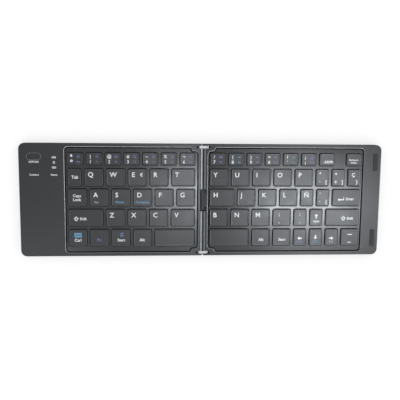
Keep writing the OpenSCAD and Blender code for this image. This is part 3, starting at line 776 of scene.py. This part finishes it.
def screw(low, high):
    """A countersunk screw in its box, with its head down."""
    bm = bmesh.new()
    shank = high.z - low.z - HEAD
    bmesh.ops.create_cone(bm, cap_ends=True, segments=32, radius1=(high.x - low.x) / 2, radius2=NECK,
                          depth=HEAD, matrix=Matrix.Translation((0, 0, HEAD / 2)))
    round_edges(bm, level_faces(bm, -1)[-1].edges, HEAD_ROUNDING, 3)
    sink_cross(bm)
    bmesh.ops.create_cone(bm, cap_ends=True, segments=24, radius1=NECK, radius2=NECK, depth=shank,
                          matrix=Matrix.Translation((0, 0, HEAD + shank / 2)))
    bmesh.ops.translate(bm, verts=bm.verts, vec=((low.x + high.x) / 2, (low.y + high.y) / 2, low.z))
    smooth_by_angle(bm, 40)
    return bm


def sink_cross(bm):
    """Sinks a cross into the flat underside of a screw's head."""
    for axis in (Vector((1, 0, 0)), Vector((0, 1, 0))):
        for cut in (-CROSS_ARM, -CROSS_HALF, CROSS_HALF, CROSS_ARM):
            flat = level_faces(bm, -1)
            around = {edge for f in flat for edge in f.edges} | {v for f in flat for v in f.verts} | set(flat)
            bmesh.ops.bisect_plane(bm, geom=list(around), plane_co=axis * cut, plane_no=axis)
    cross = [f for f in level_faces(bm, -1) if in_cross(f.calc_center_median())]
    sunk = raised_points(bm, cross)
    bmesh.ops.delete(bm, geom=cross, context="FACES_ONLY")
    bmesh.ops.scale(bm, verts=sunk, vec=(CROSS_TAPER, CROSS_TAPER, 1))
    bmesh.ops.translate(bm, verts=sunk, vec=(0, 0, CROSS_DEPTH))


def in_cross(point):
    """Whether a point of the head lies within the cross."""
    near, far = sorted(abs(c) for c in point.xy)
    return near < CROSS_HALF and far < CROSS_ARM


# Printed marks: each mark on a cap is (kind, content, x, y, size, ink), in millimetres from the cap's
# front left corner. Words and lone signs have their baseline at y, and pictures their middle.

ARROW = ((0.5, 0), (0.02, 0.42), (0.02, 0.13), (-0.5, 0.13), (-0.5, -0.13), (0.02, -0.13), (0.02, -0.42))
RAISED = ((0, 0.55), (-0.6, 0), (-0.28, 0), (-0.28, -0.45), (0.28, -0.45), (0.28, 0), (0.6, 0))
RETURN = ((-0.5, -0.12), (-0.2, 0.12), (-0.2, -0.04), (0.42, -0.04), (0.42, 0.3), (0.5, 0.3), (0.5, -0.2),
          (-0.2, -0.2), (-0.2, -0.36))
HOUSE = ((0, 0.5), (-0.55, 0.05), (-0.36, 0.05), (-0.36, -0.45), (0.36, -0.45), (0.36, 0.05), (0.55, 0.05))
PLAY = ((-0.3, 0.4), (-0.3, -0.4), (0.4, 0))
HORN = ((-0.5, 0.15), (-0.5, -0.15), (-0.25, -0.15), (0.05, -0.42), (0.05, 0.42), (-0.25, 0.15))


def moved(points, x, y, scale):
    """An outline made smaller and moved."""
    return tuple((x + px * scale, y + py * scale) for px, py in points)


def turned(points, quarter):
    """An outline turned by quarter turns."""
    cosine = round(math.cos(quarter * math.pi / 2))
    sine = round(math.sin(quarter * math.pi / 2))
    return tuple((px * cosine - py * sine, px * sine + py * cosine) for px, py in points)


# Each picture is a list of (shape, where, line): shape is an outline, a disc's radius or a bar's two sides,
# and line is the width of the line that follows it, or 0 where it is filled
PICTURES = {
    "right": [(ARROW, (0, 0), 0)],
    "up": [(turned(ARROW, 1), (0, 0), 0)],
    "left": [(turned(ARROW, 2), (0, 0), 0)],
    "down": [(turned(ARROW, 3), (0, 0), 0)],
    "raised": [(RAISED, (0, 0), 0.15)],
    "return": [(RETURN, (0, 0), 0)],
    "house": [(HOUSE, (0, 0), 0.14)],
    "search": [(0.4, (-0.1, 0.1), 0.15), ((0.24, 0.24), (0.32, -0.34), 0)],
    "select": [((1.0, 0.8), (0, 0), 0.13), ((0.4, 0.26), (0, 0), 0)],
    "copy": [((0.64, 0.64), (-0.14, 0.14), 0.13), ((0.48, 0.48), (0.24, -0.24), 0)],
    "lines": [((0.9, 0.16), (0, 0.36), 0), ((0.9, 0.16), (0, 0), 0), ((0.9, 0.16), (0, -0.36), 0)],
    "cut": [(0.24, (-0.28, -0.24), 0.12), (0.24, (0.28, -0.24), 0.12), ((0.14, 0.6), (-0.13, 0.24), 0),
            ((0.14, 0.6), (0.13, 0.24), 0)],
    "previous": [(turned(PLAY, 2), (0.05, 0), 0), ((0.14, 0.76), (-0.48, 0), 0)],
    "play": [(PLAY, (-0.25, 0), 0), ((0.14, 0.7), (0.28, 0), 0), ((0.14, 0.7), (0.52, 0), 0)],
    "next": [(PLAY, (-0.05, 0), 0), ((0.14, 0.76), (0.48, 0), 0)],
    "mute": [(HORN, (0, 0), 0), ((0.3, 0.14), (0.38, 0), 0)],
    "softer": [(HORN, (0, 0), 0), ((0.13, 0.4), (0.3, 0), 0)],
    "louder": [(HORN, (0, 0), 0), ((0.12, 0.36), (0.24, 0), 0), ((0.12, 0.7), (0.48, 0), 0)],
    "lock": [((0.74, 0.56), (0, -0.2), 0), (0.32, (0, 0.14), 0.13)],
    "swap": [(moved(ARROW, 0.02, 0.28, 0.85), (0, 0), 0),
             (moved(turned(ARROW, 2), -0.02, -0.28, 0.85), (0, 0), 0)],
    "board": [((1.04, 0.64), (0, 0), 0.16), ((0.5, 0.12), (0, -0.1), 0), ((0.66, 0.12), (0, 0.12), 0)],
    "dash": [((1.0, 0.18), (0, 0), 0)],
}


def lettered(content, x, y, size, colour=INK_WHITE):
    """A mark of words that start at x."""
    return ("word", content, x, y, size, colour)


def centred(content, x, y, size, colour=INK_WHITE):
    """A mark of words or a sign with its middle at x."""
    return ("middle", content, x, y, size, colour)


def drawn(content, x, y, size, colour=INK_WHITE):
    """A mark of one of the pictures."""
    return ("picture", content, x, y, size, colour)


# Caps of one letter: the letter stands at the upper left, this far from the left and below this line
LETTER_LEFT = 2.9
LETTER_TOP = 11.55
LETTERS = {"key_" + c: c.upper() for c in "qwertasdfgzxcvyuiophjklbnm"}
LETTERS["key_ene"] = "Ñ"
SECOND_MARKS = {
    "key_e": [lettered("€", 9.7, 8.0, 2.8)],
    "key_a": [lettered("Pad", 3.6, 2.6, 1.7, INK_GREY)],
    "key_s": [lettered("Phone", 3.2, 2.6, 1.9, INK_SKY)],
    "key_d": [lettered("Computer", 2.0, 2.6, 1.9, INK_SKY)],
}

# Number row: sign, digit, picture and word of the second function
LEFT_NUMBERS = (
    ("ª", "º", "house", "Esc"), ("|", "1", "search", "F1"), ("@", "2", "select", "F2"),
    ("#", "3", "copy", "F3"), ("~", "4", "lines", "F4"), ("%", "5", "cut", "F5"),
    ("¬", "6", "previous", "F6"))
RIGHT_NUMBERS = (
    ("/", "7", "play", "F7", INK_VIOLET), ("(", "8", "next", "F8", INK_TEAL),
    (")", "9", "mute", "F9", INK_VIOLET),
    ("=", "0", "softer", "F10", INK_VIOLET), ("?", "'", "louder", "F11", INK_TEAL),
    ("¿", "¡", "lock", "F12", INK_VIOLET))


def number_marks(sign, digit, picture, word, colour=INK_BLUE):
    """A number cap's marks: the small ª and º are drawn larger than other signs, to come out as high."""
    found = []
    for content, y in ((sign, 6.0), (digit, 1.6)):
        size, drop = (4.4, 1.6) if content in "ªº" else (2.6, 0.0)
        found.append(centred(content, 3.4, y - drop, size))
    return found + [drawn(picture, 9.0, 7.1, 2.6, colour), centred(word, 9.0, 2.0, 1.6, colour)]


def shift_marks(x):
    """A shift key's arrow and word."""
    return [drawn("raised", x, 6.4, 3.8), lettered("Shift", x + 2.9, 5.3, 2.3)]


def arrow_marks(way, word, height, colour):
    """An arrow key's arrow and the word in front of it."""
    return [drawn(way, 5.5, height, 3.8), centred(word, 5.5, 2.6, 1.6, colour)]


GROUP_MARKS = {
    "left_number_keys": [number_marks(*entry) for entry in LEFT_NUMBERS],
    "right_number_keys": [number_marks(*entry) for entry in RIGHT_NUMBERS] + [
        [lettered(".com", 3.5, 2.3, 3.1)],
        [centred("Backspace", 6.5, 4.5, 1.4), centred("Delete", 6.5, 2.1, 1.4)]],
    "left_side_keys": [
        [lettered("Tab", 3.1, 6.1, 2.6)],
        [lettered("Caps", 4.0, 7.7, 2.4), lettered("Lock", 4.0, 4.4, 2.4)],
        shift_marks(6.5),
        [drawn("board", 7.8, 9.6, 5.9, INK_SKY), centred("Ctrl", 7.7, 4.1, 2.5)],
        [centred("Fn", 7.6, 4.3, 2.7, INK_BLUE)],
        [drawn("swap", 8.3, 9.9, 3.6, INK_BLUE), centred("Start", 7.8, 4.2, 2.3)],
        [centred("Alt", 7.3, 4.2, 2.5)]],
    "right_side_keys": [
        [centred("^", 3.7, 9.2, 3.0), centred("`", 3.6, 1.6, 3.0),
         centred("[", 9.0, 2.3, 2.9)],
        [centred("*", 3.6, 8.4, 3.2), centred("+", 3.5, 2.2, 3.2),
         centred("]", 9.2, 2.3, 2.9)],
        [lettered("Ç", 3.4, 8.4, 3.1), centred("}", 8.1, 2.3, 2.9)],
        [centred("¨", 3.2, 8.6, 3.2), centred("´", 3.0, 1.4, 3.2),
         centred("{", 8.5, 2.3, 2.9)],
        [drawn("return", 7.6, 6.2, 5.6), lettered("Enter", 11.9, 5.1, 2.3)],
        [centred(";", 5.4, 8.6, 3.2), centred(",", 5.4, 2.5, 3.2)],
        [centred(":", 5.2, 8.6, 3.2), centred(".", 5.2, 2.5, 3.2)],
        [drawn("up", 5.8, 8.4, 3.9), centred("PgUp", 6.0, 3.1, 1.7)],
        shift_marks(15.7),
        [centred("Alt", 8.0, 4.0, 2.5)],
        [centred("Start", 8.1, 4.2, 2.3)],
        arrow_marks("left", "Home", 6.2, INK_VIOLET), arrow_marks("down", "PgDn", 7.2, INK_TEAL),
        arrow_marks("right", "End", 6.2, INK_GREY),
        [drawn("dash", 8.0, 9.4, 4.0), drawn("dash", 7.7, 2.6, 3.0)]],
}


class Printer:
    """Draws words and pictures as thin solids into one mesh."""

    def __init__(self, sizes):
        self.sizes = sizes
        curve = bpy.data.curves.new("type", "FONT")
        curve.resolution_u = 3
        self.type = bpy.data.objects.new("type", curve)
        bpy.context.scene.collection.objects.link(self.type)
        self.cap_share = 1.0
        self.cap_share = max(v.co.y for v in self.letters("H", 1.0, "LEFT").vertices)

    def letters(self, words, height, align):
        """Words as a mesh, with a capital's height in metres and the baseline at y = 0."""
        curve = self.type.data
        curve.body = words
        curve.size = height / self.cap_share
        curve.offset = self.sizes.weight * height
        curve.extrude = self.sizes.thickness / 2
        curve.align_x = align
        bpy.context.view_layer.update()
        return bpy.data.meshes.new_from_object(self.type.evaluated_get(bpy.context.evaluated_depsgraph_get()))

    def word(self, bm, words, height, place, align, index):
        """Draws words from their baseline."""
        mesh = self.letters(words, height, align)
        mesh.transform(Matrix.Translation(place + Vector((0, 0, self.sizes.thickness / 2))))
        first = len(bm.faces)
        bm.from_mesh(mesh)
        bpy.data.meshes.remove(mesh)
        bm.faces.ensure_lookup_table()
        for face in bm.faces[first:]:
            face.material_index = index

    def flat_shape(self, shape):
        """One flat face of an outline, a disc or a bar, as PICTURES gives it."""
        one = bmesh.new()
        if isinstance(shape, float):
            bmesh.ops.create_circle(one, cap_ends=True, segments=16, radius=shape)
        elif isinstance(shape[0], float):
            bmesh.ops.create_grid(one, x_segments=1, y_segments=1, size=0.5,
                                  matrix=Matrix.Diagonal((*shape, 1, 1)))
        else:
            one.faces.new([one.verts.new((*point, 0)) for point in shape])
        one.normal_update()
        return one

    def picture(self, bm, name, size, place, index):
        """Draws a picture round its middle."""
        for shape, (x, y), line in PICTURES[name]:
            one = self.flat_shape(shape)
            if line:
                face = list(one.faces)[0]
                bmesh.ops.inset_individual(one, faces=[face], thickness=line, use_even_offset=True)
                bmesh.ops.delete(one, geom=[face], context="FACES")
            spot = Matrix.Translation((x * size, y * size, 0)) @ Matrix.Scale(size, 4)
            bmesh.ops.transform(one, verts=one.verts, matrix=spot)
            raised = raised_points(one, list(one.faces))
            bmesh.ops.translate(one, verts=raised, vec=(0, 0, self.sizes.thickness))
            bmesh.ops.translate(one, verts=one.verts, vec=place)
            bmesh.ops.recalc_face_normals(one, faces=one.faces)
            for face in one.faces:
                face.material_index = index
            add_to(bm, one)

    def marks(self, bm, entries, corner):
        """Draws one cap's marks from its front left corner."""
        for kind, content, x, y, size, colour in entries:
            place = corner + Vector((x * MM, y * MM, 0))
            if kind == "picture":
                self.picture(bm, content, size * MM, place, INKS.index(colour))
            else:
                align = "CENTER" if kind == "middle" else "LEFT"
                self.word(bm, content, size * MM, place, align, INKS.index(colour))

    def close(self):
        """Removes the object that the letters were shaped with."""
        curve = self.type.data
        bpy.data.objects.remove(self.type)
        bpy.data.curves.remove(curve)


def marks_of(node, letter_height):
    """The marks on each cap of a node, in reading order."""
    if node in LETTERS:
        baseline = LETTER_TOP - letter_height
        return [[lettered(LETTERS[node], LETTER_LEFT, baseline, letter_height)]
                + SECOND_MARKS.get(node, [])]
    return GROUP_MARKS.get(node, [])


# Operators


class PaintShells(bpy.types.Operator):
    """Gives the shells, webs, hinge cover and rubber pieces their finish, with a painted highlight on the
    shells' bevels and painted shade low in the webs
    """

    bl_idname = "keyboard.paint_shells"
    bl_label = "Shells"

    def execute(self, context):
        finish = context.scene.keyboard_finishes
        shell = moulded("shell plastic", finish.shell, finish.gloss, finish.density)
        # Painted highlight: the shell's sloping bevels near the keys and the hinge are tinted lighter, as if
        # they caught the light
        bevels = place_group(shell.node_tree, bright_bevels)["Mask"]
        tint(shell.node_tree, shader_of(shell), bevels, finish.bevel)
        cover = moulded("cover plastic", finish.shell, 0.5, finish.density, grain=1800.0, depth=0.012 * MM)
        # Painted shade: the web is painted black below its upper face, in the grooves round it and in its
        # openings for the caps
        web = moulded("web plastic", finish.web, finish.gloss - WEB_POLISH, finish.density,
                      painted_shade_below=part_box("left_key_web")[1].z - LIT_WEB)
        rubber = moulded("rubber", finish.rubber, 0.62, 1.4, dust=0.5, grain=3200.0, depth=0.01 * MM)
        paint(shell, "left_top_frame", "right_top_frame", "power_slider", "connect_button")
        paint(cover, "left_bottom_cover", "right_bottom_cover")
        paint(web, "left_key_web", "right_key_web")
        paint(rubber, "left_feet", "right_feet", "bumper_pads")
        paint(plastic("hinge plastic"), "cable_cover")
        return {"FINISHED"}


class PaintInside(bpy.types.Operator):
    """Gives the hinge's metal and the pieces beside the battery their finish"""

    bl_idname = "keyboard.paint_inside"
    bl_label = "Hinge and inside"

    def execute(self, context):
        paint(metal("link metal"), "hinge_links")
        paint(metal("pin steel"), "hinge_pins")
        paint(metal("plate steel"), "left_base_plate", "right_base_plate")
        paint(metal("socket steel"), "charging_socket")
        paint(metal("cell foil"), "battery")
        paint(plastic("light guide"), "status_lights")
        paint(plastic("board"), "main_board")
        return {"FINISHED"}


class MakeSliderLip(bpy.types.Operator):
    """Builds the lip in the step round the power slider's opening, in a lighter grey that is a painted
    highlight
    """

    bl_idname = "keyboard.make_slider_lip"
    bl_label = "Slider lip"

    def execute(self, context):
        slider = middle_of("power_slider")
        centre = Vector((slider.x - travel("power_slide") / 2, slider.y, deck_top() - LIP_DEPTH))
        half = Vector((LIP_LENGTH, LIP_WIDTH, LIP_HEIGHT)) / 2
        bm = bmesh.new()
        add_block(bm, centre - half, centre + half)
        round_edges(bm, upright_edges(bm), 0.98 * half.y, 10)
        ends = [level_faces(bm, 1)[-1], level_faces(bm, -1)[-1]]
        bmesh.ops.inset_individual(bm, faces=ends, thickness=LIP_WALL)
        bmesh.ops.bridge_loops(bm, edges=[edge for face in ends for edge in face.edges])
        bmesh.ops.delete(bm, geom=ends, context="FACES_ONLY")
        bmesh.ops.recalc_face_normals(bm, faces=bm.faces)
        smooth_by_angle(bm, 40)
        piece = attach(new_piece("slider_lip", bm, plastic("slider lip")), "left_half")
        return {"FINISHED"}


class MakeScrews(bpy.types.Operator):
    """Builds the countersunk screws in place of the frame's plain ones"""

    bl_idname = "keyboard.make_screws"
    bl_label = "Screws"

    def execute(self, context):
        steel = metal("screw steel")
        for side in ("left", "right"):
            bm = bmesh.new()
            for low, high in islands(side + "_screws"):
                add_to(bm, screw(low, high))
            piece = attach(new_piece("screw_set_" + side, bm, steel), side + "_half")
            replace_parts(piece, side + "_screws")
        return {"FINISHED"}


class MakeCable(bpy.types.Operator):
    """Builds the flat cable, which bends from the hinge's cover into each half of the keyboard"""

    bl_idname = "keyboard.make_cable"
    bl_label = "Flat cable"

    def execute(self, context):
        film = plastic("cable film")
        for half, side in (("left_half", -1), ("right_half", 1)):
            self.cable(half, side, film)
        return {"FINISHED"}

    def cable(self, half, side, film):
        """The stretch of the cable from the middle of the hinge into one half."""
        low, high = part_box("flex_cable")
        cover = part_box("cable_cover")[1].x
        bm = bmesh.new()
        bmesh.ops.create_grid(bm, x_segments=40, y_segments=2, size=0.5)
        for vert in bm.verts:
            along = (vert.co.x + 0.5) * high.x
            fall = min(max((along - cover) / FALL, 0.0), 1.0)
            fall = fall * fall * (3 - 2 * fall)
            top = high.z + (low.z + FILM - high.z) * fall
            vert.co = (along * side, vert.co.y * (high.y - low.y), top)
        bmesh.ops.recalc_face_normals(bm, faces=bm.faces)
        if sum(face.normal.z for face in bm.faces) < 0:
            bmesh.ops.reverse_faces(bm, faces=bm.faces)
        bmesh.ops.solidify(bm, geom=list(bm.faces), thickness=FILM)
        smooth_by_angle(bm, 40)
        piece = new_piece("cable_" + half, bm, film)
        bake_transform(piece)
        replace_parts(piece, "flex_cable")


class MakeDomes(bpy.types.Operator):
    """Cuts the rubber sheets into domes, one piece for each key node, and what lies between"""

    bl_idname = "keyboard.make_domes"
    bl_label = "Domes"

    def execute(self, context):
        silicone = plastic("silicone")
        dull(silicone)
        for side in ("left", "right"):
            self.sheet(side, silicone)
        return {"FINISHED"}

    def sheet(self, side, silicone):
        """One half's sheet."""
        source = side + "_dome_sheet"
        every = []
        for node in side_keys(side):
            own = [(a + b) / 2 for a, b in islands(node)]
            every += own
            piece = carved("domes_" + node, source, lambda points: near_any(points, own, DOME_REACH),
                           side + "_half", silicone)
            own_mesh(piece)
        carved("sheet_" + side, source, lambda points: not near_any(points, every, DOME_REACH),
               side + "_half", silicone)


class MakeScissors(bpy.types.Operator):
    """Parts the scissor frames by key node"""

    bl_idname = "keyboard.make_scissors"
    bl_label = "Scissors"

    def execute(self, context):
        nylon = plastic("nylon")
        dull(nylon)
        for side in ("left", "right"):
            low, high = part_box(side + "_scissors")
            for node in side_keys(side):
                self.scissors(node, side, low.z, high.z, nylon)
        return {"FINISHED"}

    def scissors(self, node, side, foot, top, nylon):
        """The scissor frames under one key node."""
        boxes = islands(node)

        def under(points):
            return any(a.x < points[0].x < b.x and a.y < points[0].y < b.y for a, b in boxes)

        piece = carved("scissors_" + node, side + "_scissors", under, side + "_half", nylon)
        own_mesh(piece)


class MakeTongue(bpy.types.Operator):
    """Builds the charging socket's tongue with its contacts, and the plate behind it"""

    bl_idname = "keyboard.make_tongue"
    bl_label = "Socket tongue"

    def execute(self, context):
        low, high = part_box("charging_socket")
        back = low.y + PLATE_PLACE
        front = high.y - TONGUE_BACK
        insulator = [(0, back + PLATE.y / 2, *PLATE),
                     (0, (back + front) / 2, TONGUE_WIDTH, front - back, TONGUE_HEIGHT)]
        contacts = [((step - (CONTACTS - 1) / 2) * CONTACT_PITCH, front - CONTACT_PLACE, *CONTACT)
                    for step in range(CONTACTS)]
        for name, blocks, rounding, slot, material in (
                ("socket_tongue", insulator, 0.08 * MM, "white_plastic", plastic("socket plastic")),
                ("socket_contacts", contacts, 0.02 * MM, "silver", metal("contact gold"))):
            bm = bmesh.new()
            add_rounded_blocks(bm, blocks, middle_of("charging_socket"), rounding)
            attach(new_piece(name, bm, material), "left_half")
        return {"FINISHED"}


class MakeCaps(bpy.types.Operator):
    """Builds the keycaps in place of the frame's plain ones"""

    bl_idname = "keyboard.make_caps"
    bl_label = "Keycaps"

    def execute(self, context):
        finish = context.scene.keyboard_finishes
        # Painted shade: the caps are painted black below their upper faces, down their skirts
        material = moulded("cap plastic", finish.cap, finish.gloss, finish.density, depth=0.004 * MM,
                           painted_shade_below=cap_top() - LIT_CAP)
        for node in key_nodes():
            cap_piece(node, context.scene.keyboard_caps, material)
        return {"FINISHED"}


class PrintCaps(bpy.types.Operator):
    """Prints the letters and signs on the keycaps"""

    bl_idname = "keyboard.print_caps"
    bl_label = "Cap marks"

    def execute(self, context):
        sizes = context.scene.keyboard_print
        floor = cap_top() - context.scene.keyboard_caps.dish
        printer = Printer(sizes)
        for node in key_nodes():
            wanted = marks_of(node, sizes.letter / MM)
            if not wanted:
                continue
            boxes = islands(node)
            if len(boxes) != len(wanted):
                raise RuntimeError(f"{node} has {len(boxes)} caps and {len(wanted)} sets of marks")
            bm = bmesh.new()
            for (low, high), entries in zip(boxes, wanted):
                printer.marks(bm, entries, Vector((low.x, low.y, floor)))
            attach(new_piece("marks_" + node, bm, *inks(sizes)), body_of(node))
        printer.close()
        return {"FINISHED"}


class PrintPanel(bpy.types.Operator):
    """Prints the words beside the slider, the button and the status lights"""

    bl_idname = "keyboard.print_panel"
    bl_label = "Panel marks"

    def execute(self, context):
        sizes = context.scene.keyboard_print
        printer = Printer(sizes)
        bm = bmesh.new()
        for words, in_line, behind, gap, height in PANEL_WORDS:
            place = Vector((middle_of(in_line).x, middle_of(behind).y - gap, deck_top()))
            printer.word(bm, words, height, place, "CENTER", INKS.index(INK_WHITE))
        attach(new_piece("marks_panel", bm, *inks(sizes)), "left_half")
        printer.close()
        return {"FINISHED"}


class BuildStage(bpy.types.Operator):
    """Adds the camera, the lamps, the sky and the floor"""

    bl_idname = "keyboard.build_stage"
    bl_label = "Stage"

    def execute(self, context):
        sizes = context.scene.keyboard_stage
        self.camera(context, sizes)
        self.lamps(context, sizes)
        self.sky(context, sizes)
        self.floor(context, sizes)
        context.scene.view_settings.view_transform = "Standard"
        return {"FINISHED"}

    def camera(self, context, sizes):
        """The camera, which looks down."""
        data = bpy.data.cameras.new("camera")
        data.lens = sizes.lens
        data.sensor_width = 36
        data.clip_start = 0.01
        camera = bpy.data.objects.new("camera", data)
        turn = Matrix.Rotation(sizes.tilt[0], 4, "X") @ Matrix.Rotation(sizes.tilt[1], 4, "Y")
        camera.matrix_world = Matrix.Translation(sizes.place) @ turn
        context.scene.collection.objects.link(camera)
        context.scene.camera = camera

    def lit_pieces(self, context):
        """The pieces of the left half with the hinge, those of the right half, and all of them."""
        left, right, every = (bpy.data.collections.new(name + " pieces") for name in ("left", "right", "all"))
        for piece in context.scene.objects:
            if piece.type != "MESH":
                continue
            middle = sum((piece.matrix_world @ Vector(c) for c in piece.bound_box), Vector()) / 8
            (left if middle.x < HINGE_SIDE else right).objects.link(piece)
            every.objects.link(piece)
        return left, right, every

    def lamps(self, context, sizes):
        """Soft lamps over each half, which light that half alone, and two low ones for the bevels."""
        left, right, every = self.lit_pieces(context)
        eye = Vector(sizes.place)
        for name, pieces in (("left", left), ("right", right), ("corner", left)):
            glint = Vector((*getattr(sizes, name + "_glint"), cap_top()))
            height = sizes.lamp_height - glint.z
            rise = height / (eye.z - glint.z)
            place = glint + Vector(((glint.x - eye.x) * rise, (glint.y - eye.y) * rise, height))
            power = getattr(sizes, name + "_power")
            self.lamp(context, name + " lamp", place, glint, sizes.lamp_size, power, sizes.light, pieces)
        for name in ("front", "side"):
            place = Vector(getattr(sizes, name + "_place"))
            power = getattr(sizes, name + "_power")
            low = self.lamp(context, name + " lamp", place, Vector(), sizes.low_size, power, sizes.light,
                            every)
            low.data.use_shadow = False

    def lamp(self, context, name, place, aim, size, power, colour, pieces):
        """A lamp that lights some pieces, with its longer side level."""
        data = bpy.data.lights.new(name, "AREA")
        data.shape = "RECTANGLE"
        data.size, data.size_y = size
        data.energy = power
        data.color = colour
        lamp = bpy.data.objects.new(name, data)
        back = (place - aim).normalized()
        side = Vector((0, 1, 0)).cross(back).normalized() if abs(back.y) < 0.9 else Vector((1, 0, 0))
        turn = Matrix((side, back.cross(side), back)).transposed()
        lamp.matrix_world = Matrix.Translation(place) @ turn.to_4x4()
        lamp.visible_camera = False
        lamp.light_linking.receiver_collection = pieces
        context.scene.collection.objects.link(lamp)
        return lamp

    def sky(self, context, sizes):
        """White where the camera, a mirror or glass sees it, and dimmer as a light."""
        world = bpy.data.worlds.new("sky")
        world.use_nodes = True
        back = world.node_tree.nodes["Background"]
        back.inputs["Color"].default_value = opaque(WHITE)
        strength = ramp(world.node_tree, self.seen_directly(world.node_tree), 0, 1, sizes.fill, 1.0)
        world.node_tree.links.new(strength, back.inputs["Strength"])
        context.scene.world = world

    def seen_directly(self, tree):
        """1 for rays from the camera, mirrors and glass."""
        path = tree.nodes.new("ShaderNodeLightPath").outputs
        seen = path["Is Camera Ray"]
        for name in ("Is Glossy Ray", "Is Transmission Ray"):
            seen = maths(tree, "MAXIMUM", seen, path[name])
        return seen

    def floor(self, context, sizes):
        """The floor, which keeps the shadows and looks white where it has none."""
        bm = bmesh.new()
        bmesh.ops.create_grid(bm, x_segments=2, y_segments=2, size=FLOOR_REACH)
        material, tree, shader = new_material("floor", sizes.floor, 0.9)
        new_piece("floor", bm, material)
        shader.inputs["Specular IOR Level"].default_value = 0.2
        shader.inputs["Emission Color"].default_value = opaque(WHITE)
        lift = ramp(tree, self.seen_directly(tree), 0, 1, 0.0, sizes.lift)
        tree.links.new(lift, shader.inputs["Emission Strength"])


class KeyboardPanel(bpy.types.Panel):
    """Lists the pieces of the keyboard and their sizes"""

    bl_idname = "VIEW3D_PT_folding_keyboard"
    bl_label = "Folding Keyboard"
    bl_space_type = "VIEW_3D"
    bl_region_type = "UI"
    bl_category = "Keyboard"

    def draw(self, context):
        """Lists the steps, and then the sizes and colours"""
        for operator in STEPS:
            self.layout.operator(operator.bl_idname)
        for group in GROUPS:
            sizes = getattr(context.scene, group)
            for name in sizes.bl_rna.properties.keys():
                if name not in ("rna_type", "name"):
                    self.layout.prop(sizes, name)


GROUPS = {
    "keyboard_caps": CapSizes, "keyboard_print": PrintSizes, "keyboard_finishes": Finishes,
    "keyboard_stage": StageSizes}
STEPS = (
    PaintShells, PaintInside, MakeSliderLip, MakeScrews, MakeCable, MakeDomes, MakeScissors, MakeTongue,
    MakeCaps, PrintCaps, PrintPanel, BuildStage)
CLASSES = (*GROUPS.values(), *STEPS, KeyboardPanel)


def register():
    """Registers the classes and puts their sizes on the scene."""
    for cls in CLASSES:
        bpy.utils.register_class(cls)
    for name, cls in GROUPS.items():
        setattr(bpy.types.Scene, name, bpy.props.PointerProperty(type=cls))


def unregister():
    """Takes the sizes and the classes away again."""
    for name in GROUPS:
        delattr(bpy.types.Scene, name)
    for cls in reversed(CLASSES):
        bpy.utils.unregister_class(cls)


def main():
    """Builds every piece in order."""
    register()
    for operator in STEPS:
        group, name = operator.bl_idname.split(".")
        getattr(getattr(bpy.ops, group), name)()


if __name__ == "__main__":
    main()
